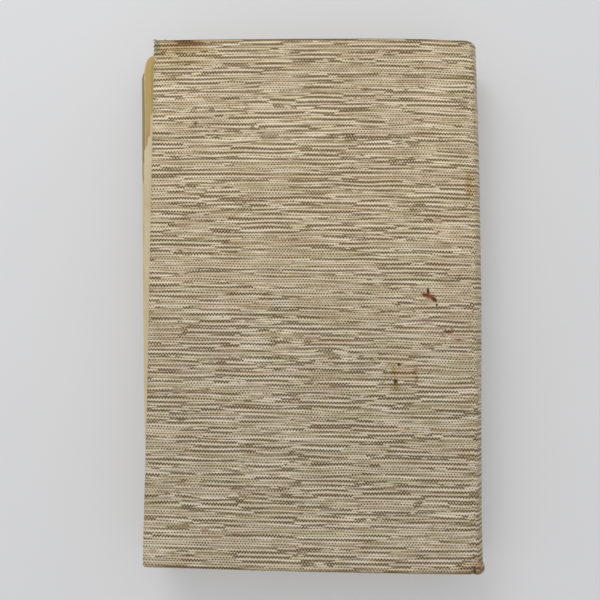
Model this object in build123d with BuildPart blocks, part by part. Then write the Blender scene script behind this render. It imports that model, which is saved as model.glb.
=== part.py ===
from build123d import *
import math
import os

# A cloth-bound hardback book, lying on its front cover with the back cover uppermost.
# X runs from the fore edge to the spine, Y from the tail to the head, Z up.
# The origin is the middle of the front cover's underside. All lengths are in millimetres.

# Driving dimensions of the case, which is the two covers and the spine between them
cover_height = 202.5
cover_width = 122.9
book_thickness = 26.0
case_lean = 4.0
board_thickness = 2.5
cloth_thickness = 0.5
paper_thickness = 0.2

# Out-of-true edges of the covers, as worn and warped boards have them
head_slant = 0.6
head_bow = 0.85
tail_slant = 1.7
tail_bow = 0.55
cloth_corner_radius = 1.2
cloth_edge_radius = 1.0
board_setback = 0.6

# Cloth and paper on the inner faces of the boards
turn_in = 15.0
pastedown_inset = 3.2
mull_thickness = 0.25
mull_flap_width = 20.0
mull_flap_margin = 4.0

# The spine
shoulder_run = 2.2
shoulder_radius = 2.6
spine_rise = 5.9
spine_cap = 0.4
inlay_thickness = 0.5
inlay_margin = 3.0
lining_thickness = 0.3
lining_margin = 9.0
mull_margin = 14.0
band_radius = 0.9

# The leaves, which have slipped in the case
leaf_width = 123.8
leaf_lean = 3.6
leaf_rise = 2.6
leaf_skew_deg = 1.9
head_square = 3.8
tail_square = 3.7
worn_corner_length = 46.0
worn_corner_width = 7.8
worn_corner_depth = 7.0

# Clearances
joint_gap = 0.15
leaf_gap = 0.2
spine_gap = 0.35
overrun = 5.0

# Places worked out from the dimensions above
cover_thickness = board_thickness + 2 * cloth_thickness
front_joint_x = cover_width / 2
back_joint_x = front_joint_x + case_lean
head_y = cover_height / 2
tail_y = -cover_height / 2
spine_head_y = head_y + head_slant + spine_cap
spine_tail_y = tail_y - tail_slant - spine_cap
block_bottom = cover_thickness + paper_thickness + leaf_gap + paper_thickness
block_top = book_thickness - block_bottom
mull_flap_inset = turn_in + mull_flap_margin

# The spine's outer round passes through both shoulders and stands out from their chord
chord_length = math.hypot(book_thickness, case_lean)
spine_radius = (chord_length**2 / 4 + spine_rise**2) / (2 * spine_rise)
chord_normal = Vector(book_thickness, -case_lean) / chord_length
front_shoulder = Vector(front_joint_x + shoulder_run, 0)
back_shoulder = Vector(back_joint_x + shoulder_run, book_thickness)
chord_middle = (front_shoulder + back_shoulder) / 2
spine_apex = chord_middle + chord_normal * spine_rise
round_centre = spine_apex - chord_normal * spine_radius

# The leaves' backs have a flatter round of their own, measured from the top leaf's back
spine_layers = 2 * cloth_thickness + inlay_thickness
hollow_radius = spine_radius - spine_layers - spine_gap
block_depth = block_top - block_bottom
leaf_chord = math.hypot(block_depth, leaf_lean)
leaf_radius = (leaf_chord**2 / 4 + leaf_rise**2) / (2 * leaf_rise)
leaf_normal = Vector(block_depth, -leaf_lean) / leaf_chord
leaf_chord_middle = Vector(-leaf_lean / 2, (block_bottom + block_top) / 2)
leaf_centre_from_back = leaf_chord_middle + leaf_normal * (leaf_rise - leaf_radius)
lined_radius = leaf_radius + mull_thickness + lining_thickness

# The skewed leaves run from the tail towards the head along this direction
leaf_skew = math.radians(leaf_skew_deg)
leaf_direction = Vector(-math.sin(leaf_skew), math.cos(leaf_skew), 0)
block_head_y = head_y - head_square
block_tail_y = tail_y + tail_square


def skew_shift(y):
    """X shift of the leaves at y, none at the tail."""
    return -(y - block_tail_y) * math.tan(leaf_skew)


def section_plane(y):
    """Plane across the book at y: X stays X, the plane's own Y is Z, and its normal points to the tail."""
    return Plane(origin=(0, y, 0), x_dir=(1, 0, 0), z_dir=(0, -1, 0))


def round_x(radius, z):
    """X on the round of this radius about the spine's centre, at height z."""
    return round_centre.X + math.sqrt(radius**2 - (z - round_centre.Y) ** 2)


def leaf_reach(radius, z):
    """How far a round about the leaves' centre stands out at height z, from the top leaf's back."""
    return leaf_centre_from_back.X + math.sqrt(radius**2 - (z - leaf_centre_from_back.Y) ** 2)


# The block sits as far into the spine's hollow as its lined back goes at the tail
fitting_heights = (block_bottom, round_centre.Y, block_top)
leaf_back_x = min(round_x(hollow_radius, z) - leaf_reach(lined_radius, z) for z in fitting_heights)
leaf_centre = leaf_centre_from_back + Vector(leaf_back_x, 0)


def leaf_x(radius, z):
    """X on a round about the leaves' centre, at height z."""
    return leaf_back_x + leaf_reach(radius, z)


def cover_face(joint_x, inset):
    """Plan of a cover, drawn past its joint, each edge moved in by the inset."""
    fore_x = joint_x - cover_width
    past_x = joint_x + turn_in + overrun
    middle_x = (fore_x + past_x) / 2
    past_share = (past_x - fore_x) / cover_width
    past_head_y = head_y + head_slant * past_share
    past_tail_y = tail_y - tail_slant * past_share
    with BuildSketch() as face:
        with BuildLine():
            Line((fore_x, tail_y), (fore_x, head_y))
            ThreePointArc(
                (fore_x, head_y), (middle_x, (head_y + past_head_y) / 2 + head_bow), (past_x, past_head_y)
            )
            Line((past_x, past_head_y), (past_x, past_tail_y))
            ThreePointArc(
                (past_x, past_tail_y), (middle_x, (tail_y + past_tail_y) / 2 - tail_bow), (fore_x, tail_y)
            )
        make_face()
        fillet(face.vertices().sort_by(Axis.X)[:2], radius=cloth_corner_radius)
        if inset:
            offset(amount=-inset)
    return face.sketch_local


def panel_face(joint_x, start, stop, margin):
    """Rectangle inside a cover, from start past the fore edge to stop short of the joint."""
    width = cover_width - start - stop
    with BuildSketch() as face:
        with Locations((joint_x - cover_width + start + width / 2, 0)):
            Rectangle(width, cover_height - 2 * margin)
    return face.sketch_local


def spine_face(inset):
    """Section of the whole spine inside its outer surface, moved in by the inset."""
    inner_x = front_joint_x - overrun
    with BuildSketch() as face:
        with BuildLine():
            Line((inner_x, 0), front_shoulder)
            ThreePointArc(front_shoulder, spine_apex, back_shoulder)
            Polyline(back_shoulder, (inner_x, book_thickness), (inner_x, 0))
        make_face()
        fillet(face.vertices().sort_by(Axis.X)[-2:], radius=shoulder_radius)
        if inset:
            offset(amount=-inset)
    return face.sketch_local


def beyond_joints_face(low, high):
    """Section of the space on the spine's side of both joints, between two heights."""
    lean_rate = case_lean / book_thickness
    low_x = front_joint_x + joint_gap + low * lean_rate
    high_x = front_joint_x + joint_gap + high * lean_rate
    past_x = spine_apex.X + overrun
    with BuildSketch() as face:
        with BuildLine():
            Polyline((low_x, low), (past_x, low), (past_x, high), (high_x, high), close=True)
        make_face()
    return face.sketch_local


def leaf_backs_face(inner, outer):
    """Section of a layer over the backs of the leaves, between two radii."""
    with BuildSketch() as face:
        with BuildLine():
            for radius in (inner, outer):
                ThreePointArc(
                    (leaf_x(radius, block_bottom), block_bottom),
                    (leaf_centre.X + radius, leaf_centre.Y),
                    (leaf_x(radius, block_top), block_top),
                )
            for z in (block_bottom, block_top):
                Line((leaf_x(inner, z), z), (leaf_x(outer, z), z))
        make_face()
    return face.sketch_local


def leaf_plane(y):
    """Plane across the leaves at y, moved with their skew."""
    return Plane(origin=(skew_shift(y), y, 0), x_dir=(1, 0, 0), z_dir=(0, -1, 0))


def leaf_run(from_y, to_y):
    """Length along the leaves' direction between two places in Y."""
    return (to_y - from_y) / math.cos(leaf_skew)


def save(part, label):
    """Labels a finished piece and writes it."""
    part.label = label
    export_step(part, f"parts/{label}.step")


os.makedirs("parts", exist_ok=True)

# Covers: the front one lies on its outer face, the back one is turned over on top
covers = {"front": (front_joint_x, 0, 1), "back": (back_joint_x, book_thickness, -1)}

for side, (joint_x, outer_z, inward) in covers.items():
    joint_side = Plane(origin=(joint_x - joint_gap, 0, 0), z_dir=(1, 0, 0))
    board_side = Plane(origin=(joint_x - board_setback, 0, 0), z_dir=(1, 0, 0))
    board_z = outer_z + inward * cloth_thickness
    board_face_z = board_z + inward * board_thickness
    turned_z = board_face_z + inward * cloth_thickness

    # Board, cut square, still running past the joint, as the hollow in the cloth does
    with BuildPart() as board_blank:
        with BuildSketch(Plane.XY.offset(board_z)):
            add(cover_face(joint_x, cloth_thickness))
        extrude(amount=inward * board_thickness)

    with BuildPart() as board:
        add(board_blank.part)
        split(bisect_by=board_side, keep=Keep.BOTTOM)
    save(board.part, f"{side}_board")

    # Cloth over the outer face and edges, turned in on the inner face
    with BuildPart() as cloth:
        with BuildSketch(Plane.XY.offset(outer_z)):
            add(cover_face(joint_x, 0))
        extrude(amount=inward * cover_thickness)
        rims = cloth.faces().filter_by(Axis.Z).edges()
        fillet(rims, radius=cloth_edge_radius)
        add(board_blank.part, mode=Mode.SUBTRACT)
        with BuildSketch(Plane.XY.offset(board_face_z)):
            add(panel_face(joint_x, turn_in, -overrun, turn_in))
        extrude(amount=inward * cover_thickness, mode=Mode.SUBTRACT)
        split(bisect_by=joint_side, keep=Keep.BOTTOM)
    save(cloth.part, f"{side}_cloth")

    # Flap of the mull, glued to the board between the turned-in edges
    with BuildPart() as mull_flap:
        with BuildSketch(Plane.XY.offset(board_face_z)):
            add(panel_face(joint_x, cover_width - mull_flap_width, board_setback, mull_flap_inset))
        extrude(amount=inward * mull_thickness)
    save(mull_flap.part, f"{side}_mull_flap")

    # Pastedown: over the turned-in edges, and down on the bare board between them
    with BuildPart() as pastedown:
        with BuildSketch(Plane.XY.offset(turned_z)):
            add(cover_face(joint_x, pastedown_inset))
        extrude(amount=inward * paper_thickness)
        split(bisect_by=joint_side, keep=Keep.BOTTOM)
        with BuildSketch(Plane.XY.offset(board_face_z)):
            add(panel_face(joint_x, turn_in, mull_flap_width, turn_in))
        extrude(amount=inward * (cloth_thickness + paper_thickness))
        with BuildSketch(Plane.XY.offset(board_face_z + inward * paper_thickness)):
            walls = turn_in + paper_thickness
            add(panel_face(joint_x, walls, mull_flap_width + paper_thickness, walls))
        extrude(amount=inward * cover_thickness, mode=Mode.SUBTRACT)
    save(pastedown.part, f"{side}_pastedown")

# Spine cloth: a round shell, doubled over the inlay at the head and the tail
spine_length = spine_head_y - spine_tail_y
inlay_head_y = spine_head_y - cloth_thickness
inlay_length = spine_length - 2 * cloth_thickness

with BuildPart() as spine_cloth:
    with BuildSketch(section_plane(spine_head_y)):
        add(spine_face(0))
        add(beyond_joints_face(0, book_thickness), mode=Mode.INTERSECT)
    extrude(amount=spine_length)
    with BuildSketch(section_plane(spine_head_y + overrun)):
        add(spine_face(spine_layers))
    extrude(amount=spine_length + 2 * overrun, mode=Mode.SUBTRACT)
    with BuildSketch(section_plane(spine_head_y - turn_in)):
        add(spine_face(cloth_thickness))
    extrude(amount=spine_length - 2 * turn_in, mode=Mode.SUBTRACT)

with BuildPart() as spine_inlay:
    with BuildSketch(section_plane(inlay_head_y)):
        add(spine_face(cloth_thickness))
        add(beyond_joints_face(inlay_margin, book_thickness - inlay_margin), mode=Mode.INTERSECT)
    extrude(amount=inlay_length)
    with BuildSketch(section_plane(spine_head_y + overrun)):
        add(spine_face(cloth_thickness + inlay_thickness))
    extrude(amount=spine_length + 2 * overrun, mode=Mode.SUBTRACT)
save(spine_inlay.part, "spine_inlay")

with BuildPart() as spine_wrap:
    add(spine_cloth.part)
    add(spine_inlay.part, mode=Mode.SUBTRACT)
save(spine_wrap.part, "spine_cloth")

# Wedge of lost paper at the head of the fore edge, deepest at the outermost leaves' corner
back_leaf_fore_x = leaf_back_x - leaf_width
wear_start_y = block_head_y - worn_corner_length
wear_start = Vector(back_leaf_fore_x + skew_shift(wear_start_y), wear_start_y, block_top)
wear_end_x = back_leaf_fore_x + skew_shift(block_head_y) + worn_corner_width
wear_end = Vector(wear_end_x, block_head_y, block_top)
wear_direction = (wear_end - wear_start).normalized()
wear_outward = Vector(-wear_direction.Y, wear_direction.X, 0)
wear_plane = Plane(origin=wear_start, x_dir=wear_outward, z_dir=wear_direction)

with BuildPart() as lost_corner:
    with BuildSketch(wear_plane):
        with BuildLine():
            Polyline(
                (0, 0),
                (2 * worn_corner_width, -2 * worn_corner_depth),
                (2 * worn_corner_width, overrun),
                (0, overrun),
                close=True,
            )
        make_face()
    extrude(amount=(wear_end - wear_start).length + overrun)

# Text block: every leaf is as wide, so the fore edge is hollow where the back is round
with BuildPart() as text_block:
    with BuildSketch(leaf_plane(block_tail_y)):
        with BuildLine():
            for shift in (0, -leaf_width):
                ThreePointArc(
                    (leaf_x(leaf_radius, block_bottom) + shift, block_bottom),
                    (leaf_centre.X + leaf_radius + shift, leaf_centre.Y),
                    (leaf_back_x + shift, block_top),
                )
            for z in (block_bottom, block_top):
                Line((leaf_x(leaf_radius, z) - leaf_width, z), (leaf_x(leaf_radius, z), z))
        make_face()
    extrude(amount=leaf_run(block_tail_y, block_head_y), dir=leaf_direction)
    add(lost_corner.part, mode=Mode.SUBTRACT)
save(text_block.part, "text_block")

# Free endpapers, one leaf on each face of the block
flyleaf_places = {
    "front": (leaf_x(leaf_radius, block_bottom), block_bottom - paper_thickness / 2),
    "back": (leaf_back_x, block_top + paper_thickness / 2),
}

for side, (back_x, middle_z) in flyleaf_places.items():
    with BuildPart() as flyleaf:
        with BuildSketch(leaf_plane(block_tail_y)):
            with Locations((back_x - leaf_width / 2, middle_z)):
                Rectangle(leaf_width, paper_thickness)
        extrude(amount=leaf_run(block_tail_y, block_head_y), dir=leaf_direction)
        add(lost_corner.part, mode=Mode.SUBTRACT)
    save(flyleaf.part, f"{side}_flyleaf")

# Mull and lining over the backs of the leaves
back_layers = {
    "mull": (leaf_radius, leaf_radius + mull_thickness, mull_margin),
    "spine_lining": (leaf_radius + mull_thickness, lined_radius, lining_margin),
}

for label, (inner, outer, margin) in back_layers.items():
    with BuildPart() as back_layer:
        with BuildSketch(leaf_plane(block_tail_y + margin)):
            add(leaf_backs_face(inner, outer))
        extrude(amount=leaf_run(block_tail_y + margin, block_head_y - margin), dir=leaf_direction)
    save(back_layer.part, label)

# Head and tail bands: a corded bead on the end of the leaves' round back
bead_path_radius = leaf_radius - band_radius
bead_ends = (block_bottom + band_radius, block_top - band_radius)
bands = {"head_band": block_head_y + band_radius, "tail_band": block_tail_y - band_radius}

for label, bead_y in bands.items():
    with BuildPart() as band:
        with BuildLine(leaf_plane(bead_y)):
            bead_path = ThreePointArc(
                (leaf_x(bead_path_radius, bead_ends[0]), bead_ends[0]),
                (leaf_centre.X + bead_path_radius, leaf_centre.Y),
                (leaf_x(bead_path_radius, bead_ends[1]), bead_ends[1]),
            )
        with BuildSketch(Plane(origin=bead_path @ 0, z_dir=bead_path % 0)):
            Circle(band_radius)
        sweep()
    save(band.part, label)
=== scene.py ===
"""A worn cloth-bound hardback book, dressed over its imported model.

X runs from the fore edge to the spine, Y from the tail to the head and Z up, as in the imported
model. Sizes are in millimetres until a mesh is made, and the studio's are in metres.
"""

import logging
import math
from dataclasses import dataclass, field
from enum import Enum
from typing import Any

import bmesh
import bpy
import numpy as np
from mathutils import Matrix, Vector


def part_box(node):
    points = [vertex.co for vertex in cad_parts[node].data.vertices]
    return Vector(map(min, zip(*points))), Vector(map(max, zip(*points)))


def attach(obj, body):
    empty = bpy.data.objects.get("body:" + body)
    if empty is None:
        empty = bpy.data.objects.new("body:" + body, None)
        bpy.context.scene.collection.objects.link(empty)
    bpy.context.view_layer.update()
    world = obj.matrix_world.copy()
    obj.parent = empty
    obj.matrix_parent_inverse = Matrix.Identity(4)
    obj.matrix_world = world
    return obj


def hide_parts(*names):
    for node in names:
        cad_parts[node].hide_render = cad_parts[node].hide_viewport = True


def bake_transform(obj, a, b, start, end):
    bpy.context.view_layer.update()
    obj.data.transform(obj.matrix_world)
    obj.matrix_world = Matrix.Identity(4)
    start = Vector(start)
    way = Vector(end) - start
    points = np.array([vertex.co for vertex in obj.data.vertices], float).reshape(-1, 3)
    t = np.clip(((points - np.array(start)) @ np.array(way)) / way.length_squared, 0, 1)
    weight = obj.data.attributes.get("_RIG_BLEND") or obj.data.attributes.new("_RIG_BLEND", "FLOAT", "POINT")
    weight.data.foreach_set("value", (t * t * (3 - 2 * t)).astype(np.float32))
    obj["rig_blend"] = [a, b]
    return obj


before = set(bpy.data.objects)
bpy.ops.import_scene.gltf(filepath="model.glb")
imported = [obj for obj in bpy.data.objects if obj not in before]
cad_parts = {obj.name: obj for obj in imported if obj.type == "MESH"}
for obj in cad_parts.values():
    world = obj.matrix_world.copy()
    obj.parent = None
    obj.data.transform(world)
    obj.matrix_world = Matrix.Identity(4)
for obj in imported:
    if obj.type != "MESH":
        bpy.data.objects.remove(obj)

log = logging.getLogger("hardback")
METRES_PER_MM = 0.001
MERGE_MM = 0.0005
LEAVES_BODY = "leaves_and_spine"
Colour = tuple[float, float, float]
Range = tuple[float, float]
Socket = bpy.types.NodeSocket


class Side(Enum):
    """The two covers: the front one lies on the floor, the back one is uppermost."""

    FRONT = "front"
    BACK = "back"

    @property
    def inward(self) -> int:
        """Direction in Z from the cover's outer face towards the leaves."""
        return 1 if self is Side.FRONT else -1

    @property
    def body(self) -> str:
        """Name of the body that the cover moves with."""
        return f"{self.value}_cover"


class End(Enum):
    """The two ends of the book, by their direction in Y."""

    HEAD = 1
    TAIL = -1


@dataclass(frozen=True)
class BookSizes:
    """Sizes of the book that more than one piece needs, in millimetres."""

    cover_height: float = 202.5
    cover_width: float = 122.9
    thickness: float = 26.0
    case_lean: float = 4.0
    board: float = 2.5
    cloth: float = 0.5
    cloth_corner: float = 1.2
    wefts: int = 234
    paper: float = 0.2
    turn_in: float = 15.0
    head_slant: float = 0.6
    head_bow: float = 0.85
    tail_slant: float = 1.7
    tail_bow: float = 0.55
    bow_past: float = 20.0
    shoulder_run: float = 2.2
    shoulder_radius: float = 1.6
    spine_rise: float = 5.9
    inlay: float = 0.5
    cap: float = 0.4
    leaf_width: float = 123.8
    leaf_lean: float = 3.6
    leaf_rise: float = 2.6
    leaf_skew_deg: float = 1.9
    head_square: float = 3.8
    tail_square: float = 3.7
    leaf_gap: float = 0.2

    @property
    def cover(self) -> float:
        """Thickness of a whole cover."""
        return self.board + 2 * self.cloth

    @property
    def block_bottom(self) -> float:
        """Height of the lowest leaf's underside."""
        return self.cover + 2 * self.paper + self.leaf_gap

    @property
    def block_top(self) -> float:
        """Height of the top leaf's face."""
        return self.thickness - self.block_bottom

    @property
    def leaf_head(self) -> float:
        """Y of the leaves' head edge."""
        return self.cover_height / 2 - self.head_square

    @property
    def leaf_tail(self) -> float:
        """Y of the leaves' tail edge."""
        return -self.cover_height / 2 + self.tail_square

    def joint_x(self, side: Side) -> float:
        """X of a cover's joint."""
        return self.cover_width / 2 + (self.case_lean if side is Side.BACK else 0.0)

    def outer_z(self, side: Side) -> float:
        """Height of a cover's outer face."""
        return self.thickness if side is Side.BACK else 0.0

    def leaf_z(self, side: Side) -> float:
        """Height of the leaves' face beside a cover."""
        return self.block_top if side is Side.BACK else self.block_bottom

    def end_y(self, side: Side, end: End, x: np.ndarray) -> np.ndarray:
        """Place of a cover's bowed and slanted head or tail edge.

        Args:
            side: The cover.
            end: Which of its two ends.
            x: Places across the book.

        Returns:
            Y of the edge at each place.
        """
        slant, bow = (self.head_slant, self.head_bow) if end is End.HEAD else (self.tail_slant, self.tail_bow)
        along_share = np.clip((x - (self.joint_x(side) - self.cover_width)) / self.cover_width, 0, 1)
        bow_share = along_share * self.cover_width / (self.cover_width + self.bow_past)
        edge = self.cover_height / 2 + slant * along_share + 4 * bow * bow_share * (1 - bow_share)
        return end.value * edge

    def spine_round(self) -> tuple[float, float, float]:
        """Centre and radius of the spine's outer round.

        Returns:
            X and Z of its centre, and its radius.
        """
        chord = math.hypot(self.thickness, self.case_lean)
        radius = (chord**2 / 4 + self.spine_rise**2) / (2 * self.spine_rise)
        reach = self.spine_rise - radius
        middle_x = self.cover_width / 2 + self.case_lean / 2 + self.shoulder_run
        centre_x = middle_x + reach * self.thickness / chord
        return centre_x, self.thickness / 2 - reach * self.case_lean / chord, radius

    def leaf_round(self) -> tuple[float, float, float]:
        """Centre and radius of the round that the leaves' backs follow, measured from the top leaf's back.

        Returns:
            X and Z of its centre, and its radius.
        """
        depth = self.block_top - self.block_bottom
        chord = math.hypot(depth, self.leaf_lean)
        radius = (chord**2 / 4 + self.leaf_rise**2) / (2 * self.leaf_rise)
        reach = self.leaf_rise - radius
        centre_x = -self.leaf_lean / 2 + reach * depth / chord
        return centre_x, (self.block_bottom + self.block_top) / 2 - reach * self.leaf_lean / chord, radius


SIZES = BookSizes()


class Waver:
    """Smooth, seeded noise for meshes: a sum of sine waves in two directions."""

    def __init__(self, seed: int, length: float, waves: int = 6) -> None:
        """Draws the waves.

        Args:
            seed: Seed of the draw.
            length: Typical length of a wave, in millimetres.
            waves: How many waves are summed.
        """
        draw = np.random.default_rng(seed)
        turn = draw.uniform(0, math.tau, waves)
        rate = math.tau / (length * draw.uniform(0.6, 1.7, waves))
        self.rates = np.stack([rate * np.cos(turn), rate * np.sin(turn)])
        self.phases = draw.uniform(0, math.tau, waves)

    def __call__(self, a: np.ndarray, b: np.ndarray) -> np.ndarray:
        """Noise at places.

        Args:
            a: First coordinate of each place.
            b: Second coordinate of each place.

        Returns:
            About -1 to 1 at each place.
        """
        a, b = np.broadcast_arrays(a, b)
        angle = a[..., None] * self.rates[0] + b[..., None] * self.rates[1] + self.phases
        return np.sin(angle).sum(-1) / math.sqrt(2 * len(self.phases))


def smooth_step(low: float, high: float, value: np.ndarray) -> np.ndarray:
    """Rises smoothly from 0 at low to 1 at high."""
    t = np.clip((value - low) / (high - low), 0, 1)
    return t * t * (3 - 2 * t)


def hump(value: np.ndarray, middle: float, width: float) -> np.ndarray:
    """Bell curve: 1 at the middle, fading over the width on both sides."""
    return np.exp(-(((value - middle) / width) ** 2))


def xyz(x: Any, y: Any, z: Any) -> np.ndarray:
    """Joins three grids or numbers into places, with X, Y, Z last."""
    return np.stack(np.broadcast_arrays(x, y, z), axis=-1)


class MeshMaker:
    """Gathers points, faces and point attributes, then makes one mesh object."""

    def __init__(self) -> None:
        """Starts empty."""
        self.points: list[np.ndarray] = []
        self.attributes: dict[str, list[np.ndarray]] = {}
        self.faces: list[tuple[int, ...]] = []
        self.count = 0

    def add_points(self, points: np.ndarray, **attributes: np.ndarray) -> np.ndarray:
        """Adds points with their attributes.

        Args:
            points: Places in millimetres, with X, Y, Z last.
            attributes: One value or vector for each point, in the same layout.

        Returns:
            The points' indices, in the same layout.
        """
        shape = points.shape[:-1]
        flat = points.reshape(-1, 3)
        self.points.append(flat)
        for name, values in attributes.items():
            size = (3,) if values.ndim > len(shape) else ()
            spread = np.broadcast_to(values, shape + size).reshape(-1, *size)
            self.attributes.setdefault(name, []).append(spread)
        indices = np.arange(self.count, self.count + len(flat)).reshape(shape)
        self.count += len(flat)
        return indices

    def add_quads(self, indices: np.ndarray) -> None:
        """Joins a grid of points with four-sided faces."""
        corners = (indices[:-1, :-1], indices[1:, :-1], indices[1:, 1:], indices[:-1, 1:])
        self.faces += list(map(tuple, np.stack([c.ravel() for c in corners], axis=1).tolist()))

    def add_face(self, indices: Any) -> None:
        """Adds one many-sided face."""
        self.faces.append(tuple(int(i) for i in indices))

    def add_tube(self, points: np.ndarray, **attributes: np.ndarray) -> None:
        """Adds rings of points as a tube with closed ends.

        Args:
            points: Places by ring and round it, the last of a ring over its first.
            attributes: Values for the points, in the same layout.
        """
        rings = self.add_points(points, **attributes)
        self.add_quads(rings)
        self.add_face(rings[0, :-1])
        self.add_face(rings[-1, :-1])

    def build(self, name: str, material: bpy.types.Material, crease_deg: float = 50.0) -> bpy.types.Object:
        """Makes the mesh, in metres, with doubled points merged and smooth shading.

        Args:
            name: Name of the object.
            material: Its material.
            crease_deg: Edges sharper than this stay sharp.

        Returns:
            The new object.
        """
        mesh = bpy.data.meshes.new(name)
        mesh.from_pydata(np.concatenate(self.points).tolist(), [], self.faces)
        for label, parts in self.attributes.items():
            values = np.concatenate(parts).astype(np.float32)
            kind, key = ("FLOAT_VECTOR", "vector") if values.ndim > 1 else ("FLOAT", "value")
            mesh.attributes.new(label, kind, "POINT").data.foreach_set(key, values.ravel())
        work = bmesh.new()
        work.from_mesh(mesh)
        bmesh.ops.remove_doubles(work, verts=work.verts[:], dist=MERGE_MM)
        bmesh.ops.dissolve_degenerate(work, edges=work.edges[:], dist=MERGE_MM)
        bmesh.ops.recalc_face_normals(work, faces=work.faces[:])
        bmesh.ops.scale(work, vec=(METRES_PER_MM,) * 3, verts=work.verts[:])
        work.to_mesh(mesh)
        work.free()
        mesh.shade_smooth()
        mesh.set_sharp_from_angle(angle=math.radians(crease_deg))
        mesh.materials.append(material)
        made = bpy.data.objects.new(name, mesh)
        bpy.context.scene.collection.objects.link(made)
        return made


def sheet_of(top: np.ndarray, bottom: np.ndarray, **attributes: np.ndarray) -> MeshMaker:
    """A thin closed sheet between two grids of points.

    Args:
        top: Places of one face.
        bottom: Places of the other face, in the same layout.
        attributes: Values for the points of both faces.

    Returns:
        The maker, ready to build.
    """
    maker = MeshMaker()
    upper = maker.add_points(top, **attributes)
    lower = maker.add_points(bottom, **attributes)
    maker.add_quads(upper)
    maker.add_quads(lower)
    for edge in (np.s_[0, :], np.s_[-1, :], np.s_[:, 0], np.s_[:, -1]):
        maker.add_quads(np.stack([upper[edge], lower[edge]]))
    return maker


@dataclass(frozen=True, eq=False)
class Value:
    """What a node puts out. Arithmetic on it adds math nodes to its graph."""

    graph: "Graph"
    socket: Socket

    def __add__(self, other: Any) -> "Value":
        """The sum."""
        return self.graph.math("ADD", self, other)

    def __radd__(self, other: Any) -> "Value":
        """The sum, with this value last."""
        return self.graph.math("ADD", other, self)

    def __sub__(self, other: Any) -> "Value":
        """The difference."""
        return self.graph.math("SUBTRACT", self, other)

    def __rsub__(self, other: Any) -> "Value":
        """The difference, with this value taken away."""
        return self.graph.math("SUBTRACT", other, self)

    def __mul__(self, other: Any) -> "Value":
        """The product."""
        return self.graph.math("MULTIPLY", self, other)

    def __truediv__(self, other: Any) -> "Value":
        """The quotient."""
        return self.graph.math("DIVIDE", self, other)

    def __abs__(self) -> "Value":
        """The size without its sign."""
        return self.graph.math("ABSOLUTE", self)


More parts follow.
